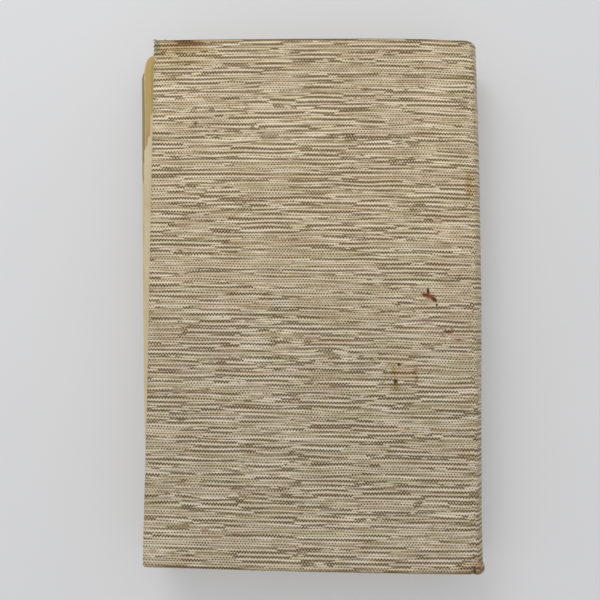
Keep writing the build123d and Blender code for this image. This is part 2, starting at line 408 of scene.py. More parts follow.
class Graph:
    """Adds nodes to one tree and links them. Inputs may be values, numbers, colours or vectors."""

    def __init__(self, tree: bpy.types.NodeTree) -> None:
        """Works on the tree."""
        self.tree = tree

    def add(self, kind: str, settings: dict[str, Any] | None = None, **inputs: Any) -> bpy.types.Node:
        """Adds a node.

        Args:
            kind: Blender's name for the node's type.
            settings: Properties to set on it.
            inputs: What each input takes, by its name with spaces as underscores.

        Returns:
            The new node.
        """
        node = self.tree.nodes.new(kind)
        for name, value in (settings or {}).items():
            setattr(node, name, value)
        for name, value in inputs.items():
            self.feed(node.inputs[name.replace("_", " ")], value)
        return node

    def feed(self, socket: Socket, value: Any) -> None:
        """Links a value to an input, or sets the input.

        Args:
            socket: The input.
            value: What it takes.
        """
        if isinstance(value, Value):
            self.tree.links.new(value.socket, socket)
        elif isinstance(value, tuple) and socket.type == "RGBA":
            socket.default_value = (*value, 1.0)
        else:
            socket.default_value = value

    def take(self, node: bpy.types.Node, output: int | str = 0) -> Value:
        """One output of a node."""
        return Value(self, node.outputs[output])

    def operate(self, node: bpy.types.Node, values: tuple[Any, ...], output: int | str = 0) -> Value:
        """Feeds a node's inputs in order.

        Args:
            node: The node.
            values: What its first inputs take.
            output: Which output is wanted.

        Returns:
            That output.
        """
        for socket, value in zip(node.inputs, values):
            self.feed(socket, value)
        return self.take(node, output)

    def math(self, operation: str, *values: Any, clamp: bool = False) -> Value:
        """One math node's result."""
        return self.operate(self.add("ShaderNodeMath", {"operation": operation, "use_clamp": clamp}), values)

    def vector_math(self, operation: str, *values: Any, output: str = "Vector") -> Value:
        """One vector math node's result."""
        return self.operate(self.add("ShaderNodeVectorMath", {"operation": operation}), values, output)

    def ramp(self, value: Any, low: Any, high: Any, start: float = 0.0, stop: float = 1.0) -> Value:
        """Smooth rise of a value's share between two bounds.

        Args:
            value: The value.
            low: Where the rise starts.
            high: Where it stops.
            start: Result at and before its start.
            stop: Result at and past its stop.

        Returns:
            The result.
        """
        bounds = {"From_Min": low, "From_Max": high, "To_Min": start, "To_Max": stop}
        node = self.add("ShaderNodeMapRange", {"interpolation_type": "SMOOTHSTEP"}, Value=value, **bounds)
        return self.take(node, "Result")

    def blend(self, share: Any, first: Any, second: Any, kind: str = "MIX") -> Value:
        """Mixes two colours.

        Args:
            share: Share of the second colour.
            first: The first colour.
            second: The second colour.
            kind: Blender's name for the way of mixing.

        Returns:
            The mixed colour.
        """
        node = self.add("ShaderNodeMix", {"data_type": "RGBA", "blend_type": kind})
        for index, value in ((0, share), (6, first), (7, second)):
            self.feed(node.inputs[index], value)
        return self.take(node, 2)

    def multiply(self, share: Any, first: Any, second: Any) -> Value:
        """First colour multiplied by the second, by a share."""
        return self.blend(share, first, second, "MULTIPLY")

    def vector(self, x: Any, y: Any, z: Any = 0.0) -> Value:
        """Vector from three values."""
        return self.take(self.add("ShaderNodeCombineXYZ", X=x, Y=y, Z=z))

    def parts(self, vector: Value) -> tuple[Value, Value, Value]:
        """The three values of a vector."""
        node = self.add("ShaderNodeSeparateXYZ", Vector=vector)
        return self.take(node, 0), self.take(node, 1), self.take(node, 2)

    def noise(self, vector: Any, scale: Any = 1.0, detail: float = 2.0, roughness: float = 0.5) -> Value:
        """Noise of 0 to 1, mostly near a half."""
        inputs = {"Vector": vector, "Scale": scale, "Detail": detail, "Roughness": roughness}
        return self.take(self.add("ShaderNodeTexNoise", **inputs))

    def attribute(self, name: str, output: str = "Vector") -> Value:
        """A point attribute, as a vector."""
        return self.take(self.add("ShaderNodeAttribute", {"attribute_name": name}), output)

    def factor(self, name: str) -> Value:
        """A point attribute, as a number."""
        return self.attribute(name, "Fac")

    def object_metres(self) -> Value:
        """Place in the piece's own frame, in metres."""
        return self.take(self.add("ShaderNodeTexCoord"), "Object")

    def object_mm(self) -> Value:
        """Place in the piece's own frame, in millimetres."""
        scaled = self.add("ShaderNodeVectorMath", {"operation": "SCALE"}, Scale=1.0 / METRES_PER_MM)
        return self.operate(scaled, (self.object_metres(),))

    def place(self, group: bpy.types.NodeTree, **inputs: Any) -> bpy.types.Node:
        """Places a node group with its inputs."""
        return self.add("ShaderNodeGroup", {"node_tree": group}, **inputs)


class Group(Graph):
    """A node group under construction, with named inputs and outputs."""

    def __init__(self, name: str, inputs: dict[str, str], outputs: dict[str, str]) -> None:
        """Makes the group and its sockets.

        Args:
            name: Name of the group.
            inputs: Socket type by input name.
            outputs: Socket type by output name.
        """
        super().__init__(bpy.data.node_groups.new(name, "ShaderNodeTree"))
        for direction, sockets in (("INPUT", inputs), ("OUTPUT", outputs)):
            for label, kind in sockets.items():
                self.tree.interface.new_socket(label, in_out=direction, socket_type=f"NodeSocket{kind}")
        self.entry = self.tree.nodes.new("NodeGroupInput")
        self.exit = self.tree.nodes.new("NodeGroupOutput")

    def given(self, name: str) -> Value:
        """One of the group's inputs."""
        return self.take(self.entry, name)

    def finish(self, **results: Value) -> bpy.types.NodeTree:
        """Links the results to the outputs.

        Args:
            results: Value by output name.

        Returns:
            The finished group.
        """
        for name, value in results.items():
            self.feed(self.exit.inputs[name], value)
        return self.tree


class Jump(Enum):
    """How far noise jumps from one thread or gap to the next, different for each use so that none agree."""

    LINE = 7.31
    FLICKER = 3.77
    RAGGED = 4.9
    SHOWN = 8.9
    SLUB = 5.17
    TWIST = 9.13
    TONE = 12.7
    RUST = 11.3


@dataclass(frozen=True)
class SlubWeave:
    """Plain weave of pale, uneven wefts over thin dark warps, which show as staggered dots and zigzag lines.

    Rates are in waves per millimetre. Rows of the weave are taken in pairs: across a pair, places run
    from -1 to 1 with the gap between its two wefts at 0. An edge is where a mask starts and stops.
    """

    hop_rates: Range = (0.045, 0.22)
    patch_rates: Range = (0.035, 0.11)
    drift_rates: Range = (0.06, 0.2)
    line_rate: float = 0.024
    flicker_rate: float = 0.8
    ragged_rate: float = 2.2
    shown_rate: float = 0.10
    slub_rate: float = 0.045
    twist_rate: float = 1.7
    tone_rate: float = 0.08
    rust_rate: float = 0.03
    bareness: float = 0.48
    bare_edge: float = 0.10
    bare_patches: float = 0.12
    bare_wear: float = 0.10
    zigzag_reach: float = 0.26
    zigzag_edge: Range = (0.18, 0.42)
    ragged_reach: float = 0.30
    flicker_edge: Range = (0.3, 0.6)
    flicker_least: float = 0.85
    bead_edge: Range = (0.0, 0.7)
    bead_least: float = 0.72
    crest_edge: Range = (0.50, 0.75)
    crest_bright: float = 0.20
    # Painted shade, a little brown, on the yarn beside each open gap.
    gap_shade_edge: Range = (0.26, 0.50)
    gap_shade_most: float = 0.3
    shown_edge: Range = (0.38, 0.60)
    dot_place: float = 0.46
    dot_edge: Range = (0.18, 0.46)
    dot_length: Range = (0.10, 0.62)
    dot_strength: float = 0.66
    dot_shown: float = 0.34
    dot_in_line: float = 0.45
    seam_place: float = 0.47
    seam_edge: Range = (0.06, 0.26)
    seam_strength: float = 0.45
    seam_shown: float = 0.3
    slub_edge: Range = (0.50, 0.62)
    slub_bright: float = 0.45
    twist_bright: float = 1.1
    twist_middle: float = 0.25
    tone_bright: float = 1.1
    tone_middle: float = 0.55
    row_edge: Range = (0.3, 0.9)
    row_bright: Range = (-0.05, 0.12)
    rosy_edge: Range = (0.50, 0.66)
    green_edge: Range = (0.47, 0.34)
    drift_most: float = 0.55
    rust_edge: Range = (0.63, 0.70)
    body_height: float = 0.5
    twist_height: float = 0.2
    gap_height: float = 0.5
    gap_shade_tint: Colour = (0.80, 0.67, 0.48)
    seam_tint: Colour = (0.68, 0.57, 0.37)
    rosy_tint: Colour = (1.0, 0.90, 0.92)
    green_tint: Colour = (0.93, 0.97, 0.84)

    def build(self) -> bpy.types.NodeTree:
        """Makes the group.

        Returns:
            The group. Place is in millimetres along the threads, X along the weft, with a weft's middle at 0.
        """
        names = {"Place": "Vector", "Weft Pitch": "Float", "Warp Pitch": "Float", "Worn": "Float"}
        names |= dict.fromkeys(("Pale", "Middle", "Dark", "Rust"), "Color")
        g = Group("slub_weave", names, {"Color": "Color", "Height": "Float"})
        u, v, _ = g.parts(g.given("Place"))
        columns = u / g.given("Warp Pitch")
        rows = v / g.given("Weft Pitch")
        weft = g.math("ROUND", rows)

        def along(index: Value, rate: float, jump: Jump, detail: float = 1.0) -> Value:
            """Noise that runs along one thread or gap and jumps from one to the next."""
            return g.noise(g.vector(u * rate, index * jump.value), detail=detail)

        def cloud(rates: Range, layer: float, detail: float = 3.0, roughness: float = 0.5) -> Value:
            """Noise over many threads, longer along the wefts than across them."""
            return g.noise(g.vector(u * rates[0], v * rates[1], layer), detail=detail, roughness=roughness)

        hop = g.math("GREATER_THAN", cloud(self.hop_rates, 5.0), 0.5)
        pairs = (rows + (hop + 0.5)) * 0.5
        pair = g.math("FLOOR", pairs)
        off_gap = (pairs - pair) * 2.0 - 1.0
        line = pair * 2.0 + hop
        wave = g.math("COSINE", (columns + hop) * math.pi)
        crossing = abs(wave)

        bareness = self.bareness - cloud(self.patch_rates, 7.0) * self.bare_patches
        bareness = bareness - g.given("Worn") * self.bare_wear
        open_gap = g.ramp(along(line, self.line_rate, Jump.LINE, 2.0), bareness, bareness + self.bare_edge)
        flicker = along(line, self.flicker_rate, Jump.FLICKER)
        flicker = g.ramp(flicker, *self.flicker_edge, self.flicker_least, 1.0)
        ragged = (along(line, self.ragged_rate, Jump.RAGGED) - 0.5) * self.ragged_reach
        off_line = abs(off_gap - wave * self.zigzag_reach + ragged)
        beaded = g.ramp(crossing, *self.bead_edge, self.bead_least, 1.0)
        zigzag = g.ramp(off_line, *self.zigzag_edge, 1.0, 0.0) * (open_gap * flicker) * beaded

        row_index = line + g.math("SIGN", off_gap) * 0.3
        shown = g.ramp(along(row_index, self.shown_rate, Jump.SHOWN, 2.0), *self.shown_edge)
        off_dot = abs(off_gap - g.math("SIGN", wave) * self.dot_place)
        dots = g.ramp(off_dot, *self.dot_edge, 1.0, 0.0) * g.ramp(crossing, *self.dot_length)
        dots = dots * (self.dot_strength + shown * self.dot_shown) * (1.0 - open_gap * self.dot_in_line)
        dark = g.math("MAXIMUM", zigzag, dots)

        slub = g.ramp(along(weft, self.slub_rate, Jump.SLUB, 2.0), *self.slub_edge)
        twist = along(weft, self.twist_rate, Jump.TWIST)
        tone = along(weft, self.tone_rate, Jump.TONE)
        bright = slub * self.slub_bright + (twist * self.twist_bright - self.twist_middle)
        bright = bright + (tone * self.tone_bright - self.tone_middle)
        bright = bright + g.ramp(abs(off_gap), *self.row_edge, *self.row_bright)
        crest = g.ramp(off_line, *self.crest_edge) * open_gap
        bright = g.math("ADD", bright, crest * self.crest_bright, clamp=True)
        yarn = g.blend(bright, g.given("Middle"), g.given("Pale"))
        drift = cloud(self.drift_rates, 3.0, 4.0, 0.65)
        yarn = g.multiply(g.ramp(drift, *self.rosy_edge, 0.0, self.drift_most), yarn, self.rosy_tint)
        yarn = g.multiply(g.ramp(drift, *self.green_edge, 0.0, self.drift_most), yarn, self.green_tint)
        # Painted shade, a little brown, on the yarn beside each open gap.
        beside = g.ramp(off_line, *self.gap_shade_edge, self.gap_shade_most, 0.0) * open_gap
        yarn = g.multiply(beside, yarn, self.gap_shade_tint)
        off_seam = abs(abs(off_gap) - self.seam_place)
        seam = g.ramp(off_seam, *self.seam_edge, 1.0, 0.0) * (self.seam_strength + shown * self.seam_shown)
        yarn = g.multiply(seam, yarn, self.seam_tint)
        rust = g.ramp(along(line, self.rust_rate, Jump.RUST), *self.rust_edge)
        warp = g.blend(rust, g.given("Dark"), g.given("Rust"))
        body = 1.0 - g.ramp(abs(rows - weft), 0.0, 0.5)
        height = body * self.body_height + twist * self.twist_height - zigzag * self.gap_height
        return g.finish(Color=g.blend(dark, yarn, warp), Height=height)


def make_spot() -> bpy.types.NodeTree:
    """A ragged mark: 1 inside an ellipse, 0 outside, with edges broken up by noise.

    Returns:
        The group. Place, centre and radii are in millimetres.
    """
    names = {"Place": "Vector", "Centre": "Vector", "Reach": "Vector", "Turn": "Float", "Ragged": "Float"}
    g = Group("spot", names, {"Mask": "Float"})
    shift = g.vector_math("SUBTRACT", g.given("Place"), g.given("Centre"))
    turn = g.add("ShaderNodeVectorRotate", {"rotation_type": "Z_AXIS"}, Vector=shift, Angle=g.given("Turn"))
    share = g.vector_math("DIVIDE", g.take(turn), g.given("Reach"))
    rough = g.noise(g.given("Place"), 1.6, 3.0, 0.7) - 0.5
    edge = g.vector_math("LENGTH", share, output="Value") + rough * g.given("Ragged")
    return g.finish(Mask=g.ramp(edge, 1.30, 0.50))


def make_soiling() -> bpy.types.NodeTree:
    """Handling dirt and browning: patchy darkening, stronger where the edge value is high.

    Returns:
        The group. Place is in millimetres.
    """
    names = {"Place": "Vector", "Color": "Color", "Soil": "Color", "Edge": "Float", "Patches": "Float"}
    g = Group("soiling", names, {"Color": "Color"})
    patchy = g.noise(g.given("Place"), 0.09, 4.0, 0.62)
    fine = g.noise(g.given("Place"), 0.9, 3.0, 0.7)
    patches = g.ramp(patchy, 0.50, 0.75) * g.given("Patches")
    broken = g.given("Edge") * g.ramp(fine, 0.25, 0.62, 0.45, 1.0)
    share = g.math("ADD", patches, broken, clamp=True)
    return g.finish(Color=g.multiply(share, g.given("Color"), g.given("Soil")))


def make_paper_fibre() -> bpy.types.NodeTree:
    """Old paper: cloudy tone, fine fibre and a few foxing spots.

    Returns:
        The group. Place is in millimetres.
    """
    names = {"Place": "Vector", "Light": "Color", "Dark": "Color", "Foxing": "Float"}
    g = Group("paper_fibre", names, {"Color": "Color", "Height": "Float"})
    place = g.given("Place")
    cloud = g.noise(place, 0.045, 5.0, 0.6)
    fibre = g.noise(place, 3.2, 4.0, 0.75)
    share = g.math("ADD", cloud * 0.8, fibre * 0.25, clamp=True)
    cells = g.add("ShaderNodeTexVoronoi", {"feature": "F1"}, Vector=place, Scale=0.075)
    near = g.take(cells, "Distance") + g.noise(place, 1.1, 3.0) * 0.12
    spots = g.ramp(near, 0.16, 0.07) * g.given("Foxing")
    foxed: Colour = (0.72, 0.50, 0.30)
    colour = g.multiply(spots, g.blend(share, g.given("Light"), g.given("Dark")), foxed)
    return g.finish(Color=colour, Height=fibre)


@dataclass(frozen=True)
class EffectGroups:
    """The node groups that the materials share."""

    weave: bpy.types.NodeTree = field(default_factory=SlubWeave().build)
    spot: bpy.types.NodeTree = field(default_factory=make_spot)
    soiling: bpy.types.NodeTree = field(default_factory=make_soiling)
    paper: bpy.types.NodeTree = field(default_factory=make_paper_fibre)


EFFECTS = EffectGroups()


class Surface(Graph):
    """A material under construction, around its Principled BSDF."""

    def __init__(self, name: str) -> None:
        """Starts the material.

        Args:
            name: Name of the material.
        """
        self.material = bpy.data.materials.new(name)
        self.material.use_nodes = True
        super().__init__(self.material.node_tree)
        self.shader = self.tree.nodes["Principled BSDF"]
        self.set("Specular IOR Level", 0.25)

    def set(self, name: str, value: Any) -> None:
        """Feeds one of the shader's inputs."""
        self.feed(self.shader.inputs[name], value)

    def soil(self, place: Value, colour: Value, soil: Colour, patches: float) -> Value:
        """Dirties a colour, most where the piece's edge_wear is high.

        Args:
            place: Place in millimetres.
            colour: The clean colour.
            soil: Colour of the dirt.
            patches: How strong the patches away from the edges are.

        Returns:
            The dirty colour.
        """
        dirt = {"Color": colour, "Soil": soil, "Edge": self.factor("edge_wear"), "Patches": patches}
        return self.take(self.place(EFFECTS.soiling, Place=place, **dirt), "Color")

    def bump(self, height: Value, relief: float, strength: float = 1.0) -> None:
        """Roughens the surface.

        Args:
            height: The height, from 0 to 1.
            relief: How high 1 stands, in metres.
            strength: Strength of the bump.
        """
        node = self.add("ShaderNodeBump", Height=height, Distance=relief, Strength=strength)
        self.set("Normal", self.take(node, "Normal"))


@dataclass(frozen=True)
class Mark:
    """One stain, scuff or patch of painted shade on the back cover, placed in millimetres."""

    x: float
    y: float
    reach_x: float
    reach_y: float
    colour: Colour
    strength: float = 0.8
    turn_deg: float = 0.0
    ragged: float = 0.8

    def mask(self, g: Graph, place: Value) -> Value:
        """The mark's mask.

        Args:
            g: The material's graph.
            place: Place along the threads.

        Returns:
            Its share at each place.
        """
        spot = g.place(
            EFFECTS.spot, Place=place, Centre=(self.x, self.y, 0.0), Turn=math.radians(self.turn_deg),
            Reach=(self.reach_x, self.reach_y, 1.0), Ragged=self.ragged,
        )
        return g.take(spot, "Mask") * self.strength


@dataclass(frozen=True)
class ClothFinish:
    """The case's slubbed oatmeal cloth."""

    pale: Colour = (0.786, 0.690, 0.520)
    middle: Colour = (0.445, 0.355, 0.205)
    dark: Colour = (0.028, 0.015, 0.002)
    rust: Colour = (0.150, 0.064, 0.026)
    dirt: Colour = (0.50, 0.40, 0.27)
    patches: float = 0.22
    # Darker and greyer towards the tail, by a gradient along the threads.
    tail_grey: Colour = (0.87, 0.89, 0.94)
    tail_grey_reach: float = 70.0
    weft_pitch: float = (SIZES.cover_height - 2 * SIZES.cloth_corner) / SIZES.wefts
    warp_pitch: float = 0.5717
    relief: float = 0.00012
    roughness: float = 0.85
    sheen: float = 0.08
    sheen_roughness: float = 0.5
    marks: tuple[Mark, ...] = (
        Mark(49.8, 1.2, 2.6, 1.1, (0.21, 0.055, 0.014), 1.0, 14.0, 1.8),
        Mark(49.5, 3.0, 0.6, 1.5, (0.08, 0.026, 0.006), 1.0, 0.0, 1.0),
        Mark(48.2, 1.8, 1.0, 0.45, (0.09, 0.024, 0.005), 1.0, 0.0, 0.9),
        Mark(51.9, 0.0, 1.2, 0.75, (0.085, 0.026, 0.005), 1.0, 35.0, 1.0),
        Mark(52.8, -2.0, 0.4, 0.65, (0.03, 0.02, 0.01), 1.0, 0.0, 0.4),
        Mark(57.2, -12.0, 2.2, 0.5, (0.13, 0.035, 0.02), 0.9, 0.0, 1.4),
        Mark(58.4, -10.7, 0.7, 0.6, (0.22, 0.12, 0.10), 0.7, 0.0, 1.2),
        Mark(60.9, -14.7, 1.5, 0.4, (0.16, 0.04, 0.02), 0.9, 0.0, 1.2),
        Mark(66.5, -4.1, 0.5, 0.7, (0.25, 0.06, 0.03), 0.6),
        Mark(38.3, -24.6, 0.7, 0.6, (0.06, 0.045, 0.010), 1.0, 0.0, 1.6),
        Mark(36.9, -31.0, 0.9, 0.7, (0.04, 0.03, 0.008), 1.0, 0.0, 1.4),
        Mark(-44.3, -46.3, 1.8, 0.6, (0.14, 0.09, 0.05), 0.8),
        Mark(-53.9, -94.8, 2.0, 1.0, (0.24, 0.16, 0.08), 0.4, 0.0, 1.6),
        Mark(-34.6, -87.0, 1.7, 0.8, (0.22, 0.12, 0.06), 0.65, 0.0, 1.6),
        Mark(-18.3, -70.0, 1.4, 0.8, (0.24, 0.15, 0.08), 0.5, 0.0, 1.6),
        Mark(66.1, -100.9, 0.6, 2.4, (0.04, 0.028, 0.01), 1.0, 0.0, 0.5),
        Mark(-34.4, 73.2, 1.2, 0.9, (0.17, 0.12, 0.065), 0.75, 0.0, 1.6),
        Mark(-40.5, 67.6, 0.9, 0.9, (0.12, 0.085, 0.045), 0.85, 0.0, 1.6),
        Mark(-18.4, 66.0, 0.9, 0.8, (0.17, 0.12, 0.065), 0.75, 0.0, 1.6),
    )
    browning_and_shade: tuple[Mark, ...] = (
        Mark(-49.0, 101.4, 9.5, 1.3, (0.58, 0.46, 0.36), 0.9, 0.0, 1.4),
        Mark(-44.0, 99.6, 5.5, 1.6, (0.74, 0.58, 0.46), 0.8, 0.0, 1.8),
        Mark(-48.0, 99.0, 12.0, 3.6, (0.85, 0.77, 0.66), 0.85, 0.0, 1.6),
        Mark(-47.0, 95.5, 14.0, 6.5, (0.92, 0.86, 0.72), 0.8, 0.0, 1.2),
        Mark(40.6, -27.6, 5.2, 3.6, (0.95, 0.84, 0.70), 0.6, 0.0, 1.5),
        Mark(36.3, -26.9, 1.0, 2.2, (0.80, 0.72, 0.45), 0.9, 0.0, 1.7),
        Mark(37.2, -32.9, 1.6, 1.8, (0.72, 0.64, 0.40), 0.9, 0.0, 1.7),
        Mark(44.4, -27.2, 1.1, 1.6, (0.66, 0.52, 0.42), 0.9, 25.0, 1.9),
        Mark(44.9, -30.0, 0.6, 1.7, (0.70, 0.58, 0.40), 0.9, 0.0, 1.4),
        # Painted shade: a grey-green line on the rounded fore edge at the head corner.
        Mark(-56.1, 98.2, 1.2, 3.4, (0.55, 0.62, 0.62), 0.9, 0.0, 0.6),
        Mark(66.0, -99.5, 7.0, 3.6, (0.84, 0.74, 0.62), 0.85, 0.0, 1.2),
        Mark(70.5, -97.0, 5.0, 5.2, (0.82, 0.71, 0.63), 0.85, 0.0, 1.2),
        Mark(62.0, -101.8, 9.0, 1.2, (0.72, 0.56, 0.36), 0.85, 0.0, 1.2),
        Mark(38.0, -101.6, 26.0, 0.9, (0.80, 0.58, 0.34), 0.7, 0.0, 1.2),
        Mark(65.6, 44.0, 1.6, 5.0, (0.75, 0.60, 0.36), 0.8, 0.0, 1.0),
    )
    worn: tuple[Mark, ...] = (
        Mark(-46.0, 98.0, 14.0, 6.0, (0.0, 0.0, 0.0), 1.0),
        Mark(68.0, -97.0, 9.0, 7.0, (0.0, 0.0, 0.0), 1.0),
    )

    def dress(self) -> bpy.types.Material:
        """Makes the material.

        Returns:
            The material.
        """
        g = Surface("book_cloth")
        place = g.attribute("thread_place")
        worn = 0.0
        for mark in self.worn:
            worn = g.math("MAXIMUM", worn, mark.mask(g, place))
        weave = g.place(
            EFFECTS.weave, Place=place, Weft_Pitch=self.weft_pitch, Warp_Pitch=self.warp_pitch,
            Pale=self.pale, Middle=self.middle, Dark=self.dark, Rust=self.rust, Worn=worn,
        )
        colour = g.soil(place, g.take(weave, "Color"), self.dirt, self.patches)
        _, down, _ = g.parts(place)
        # Darker and greyer towards the tail.
        colour = g.multiply(g.ramp(down, self.tail_grey_reach, -self.tail_grey_reach), colour, self.tail_grey)
        # Browning marks; one of them is painted shade on the rounded fore edge at the head corner.
        for mark in self.browning_and_shade:
            colour = g.multiply(mark.mask(g, place), colour, mark.colour)
        for mark in self.marks:
            colour = g.blend(mark.mask(g, place), colour, mark.colour)
        g.set("Base Color", colour)
        g.set("Roughness", self.roughness)
        g.set("Sheen Weight", self.sheen)
        g.set("Sheen Roughness", self.sheen_roughness)
        g.bump(g.take(weave, "Height"), self.relief)
        return g.material


@dataclass(frozen=True)
class LeafEdgeFinish:
    """The leaves' trimmed edges, toned by age, coloured in bands along the lost corner, with painted shade on the
    lowest leaves.
    """

    light: Colour = (0.62, 0.53, 0.35)
    dark: Colour = (0.44, 0.34, 0.18)
    olive: Colour = (0.40, 0.31, 0.09)
    gold: Colour = (0.48, 0.32, 0.13)
    tan: Colour = (0.64, 0.52, 0.34)
    orange: Colour = (0.44, 0.24, 0.09)
    grime: Colour = (0.42, 0.44, 0.38)
    roughness: float = 0.9
    fibre_rate: float = 2500.0
    relief: float = 0.00003

    def dress(self) -> bpy.types.Material:
        """Makes the material.

        Returns:
            The material.
        """
        g = Surface("leaf_edges")
        along, leaf, _ = g.parts(g.attribute("edge_place"))
        streaks = g.noise(g.vector(along * 0.15, leaf * 0.9), detail=3.0)
        clouds = g.noise(g.vector(along * 0.03, leaf * 0.05), detail=2.0)
        share = streaks * 0.55 + g.factor("leaf_tone") * 0.45
        share = g.math("ADD", share, clouds - 0.5, clamp=True)
        colour = g.blend(share, self.light, self.dark)
        torn = g.factor("torn_depth")
        for start, stop, strength, stain in (
            (0.0, 0.03, 0.85, self.olive), (0.06, 0.20, 0.85, self.gold), (0.78, 0.90, 0.8, self.tan),
        ):
            colour = g.blend(g.ramp(torn, start, stop, 0.0, strength), colour, stain)
        colour = g.blend(g.factor("torn_foot") * 0.8, colour, self.orange)
        # Painted shade on the lowest leaves near the fore edge, with a little grime on all leaves.
        g.set("Base Color", g.multiply(g.factor("grime"), colour, self.grime))
        g.set("Roughness", self.roughness)
        g.bump(g.noise(g.object_metres(), self.fibre_rate, 3.0, 0.7), self.relief, 0.6)
        return g.material


@dataclass(frozen=True)
class PaperFinish:
    """Paper or grey board, toned by age. A sheet made here also carries soil along its edges."""

    name: str
    light: Colour
    dark: Colour
    foxing: float
    is_sheet: bool = False
    dirt: Colour = (0.74, 0.60, 0.40)
    patches: float = 0.25
    roughness: float = 0.82
    relief: float = 0.00003

    def dress(self) -> bpy.types.Material:
        """Makes the material.

        Returns:
            The material.
        """
        g = Surface(self.name)
        place = g.attribute("sheet_place") if self.is_sheet else g.object_mm()
        paper = g.place(EFFECTS.paper, Place=place, Light=self.light, Dark=self.dark, Foxing=self.foxing)
        colour = g.take(paper, "Color")
        if self.is_sheet:
            colour = g.soil(place, colour, self.dirt, self.patches)
        g.set("Base Color", colour)
        g.set("Roughness", self.roughness)
        g.bump(g.take(paper, "Height"), self.relief, 0.7)
        return g.material


@dataclass(frozen=True)
class MullFinish:
    """Open cotton mull, stiff with glue."""

    thread: Colour = (0.62, 0.57, 0.46)
    glue: Colour = (0.36, 0.26, 0.14)
    pitch: float = 0.9
    hole_edge: Range = (0.12, 0.3)
    roughness: float = 0.75
    relief: float = 0.0001

    def dress(self) -> bpy.types.Material:
        """Makes the material.

        Returns:
            The material.
        """
        g = Surface("mull_cloth")
        x, y, z = g.parts(g.object_mm())
        across = g.math("PINGPONG", (x + z) / self.pitch, 0.5)
        down = g.math("PINGPONG", y / self.pitch, 0.5)
        holes = g.ramp(across, *self.hole_edge) * g.ramp(down, *self.hole_edge)
        g.set("Base Color", g.blend(holes, self.thread, self.glue))
        g.set("Roughness", self.roughness)
        g.bump(1.0 - holes, self.relief)
        return g.material


@dataclass(frozen=True)
class ThreadFinish:
    """Thread in two close shades: silk wound over the bands, or loose ends of the cloth."""

    name: str = "band_thread"
    first: Colour = (0.62, 0.52, 0.36)
    second: Colour = (0.34, 0.20, 0.10)
    shade: Colour = (0.7, 0.66, 0.6)
    turns: float = 4.0
    roughness: float = 0.55
    relief: float = 0.00005

    def dress(self) -> bpy.types.Material:
        """Makes the material.

        Returns:
            The material.
        """
        g = Surface(self.name)
        turn, around, _ = g.parts(g.attribute("thread_turn"))
        stripe = g.ramp(g.math("PINGPONG", turn / self.turns, 0.5), 0.22, 0.28)
        ply = g.noise(g.vector(turn * 6.0, around * 2.0), detail=2.0)
        colour = g.blend(stripe, self.first, self.second)
        g.set("Base Color", g.multiply(g.ramp(ply, 0.35, 0.7), colour, self.shade))
        g.set("Roughness", self.roughness)
        g.bump(ply, self.relief)
        return g.material


@dataclass(frozen=True, eq=False)
class Section:
    """Points along the cloth's section, from the fore edge to the spine's middle.

    Past is the length along the cloth past the joint, and bowed_share how much of the spine's bow a
    point takes.
    """

    x: np.ndarray
    z: np.ndarray
    normal_x: np.ndarray
    normal_z: np.ndarray
    length: np.ndarray
    past: np.ndarray
    thickness: np.ndarray
    bowed_share: np.ndarray


@dataclass(frozen=True, eq=False)
class ClothGrid:
    """The cloth's outer face as a grid: points of the section by rows of thread."""

    section: Section
    y: np.ndarray
    place: np.ndarray
    valley: np.ndarray
    wear: np.ndarray


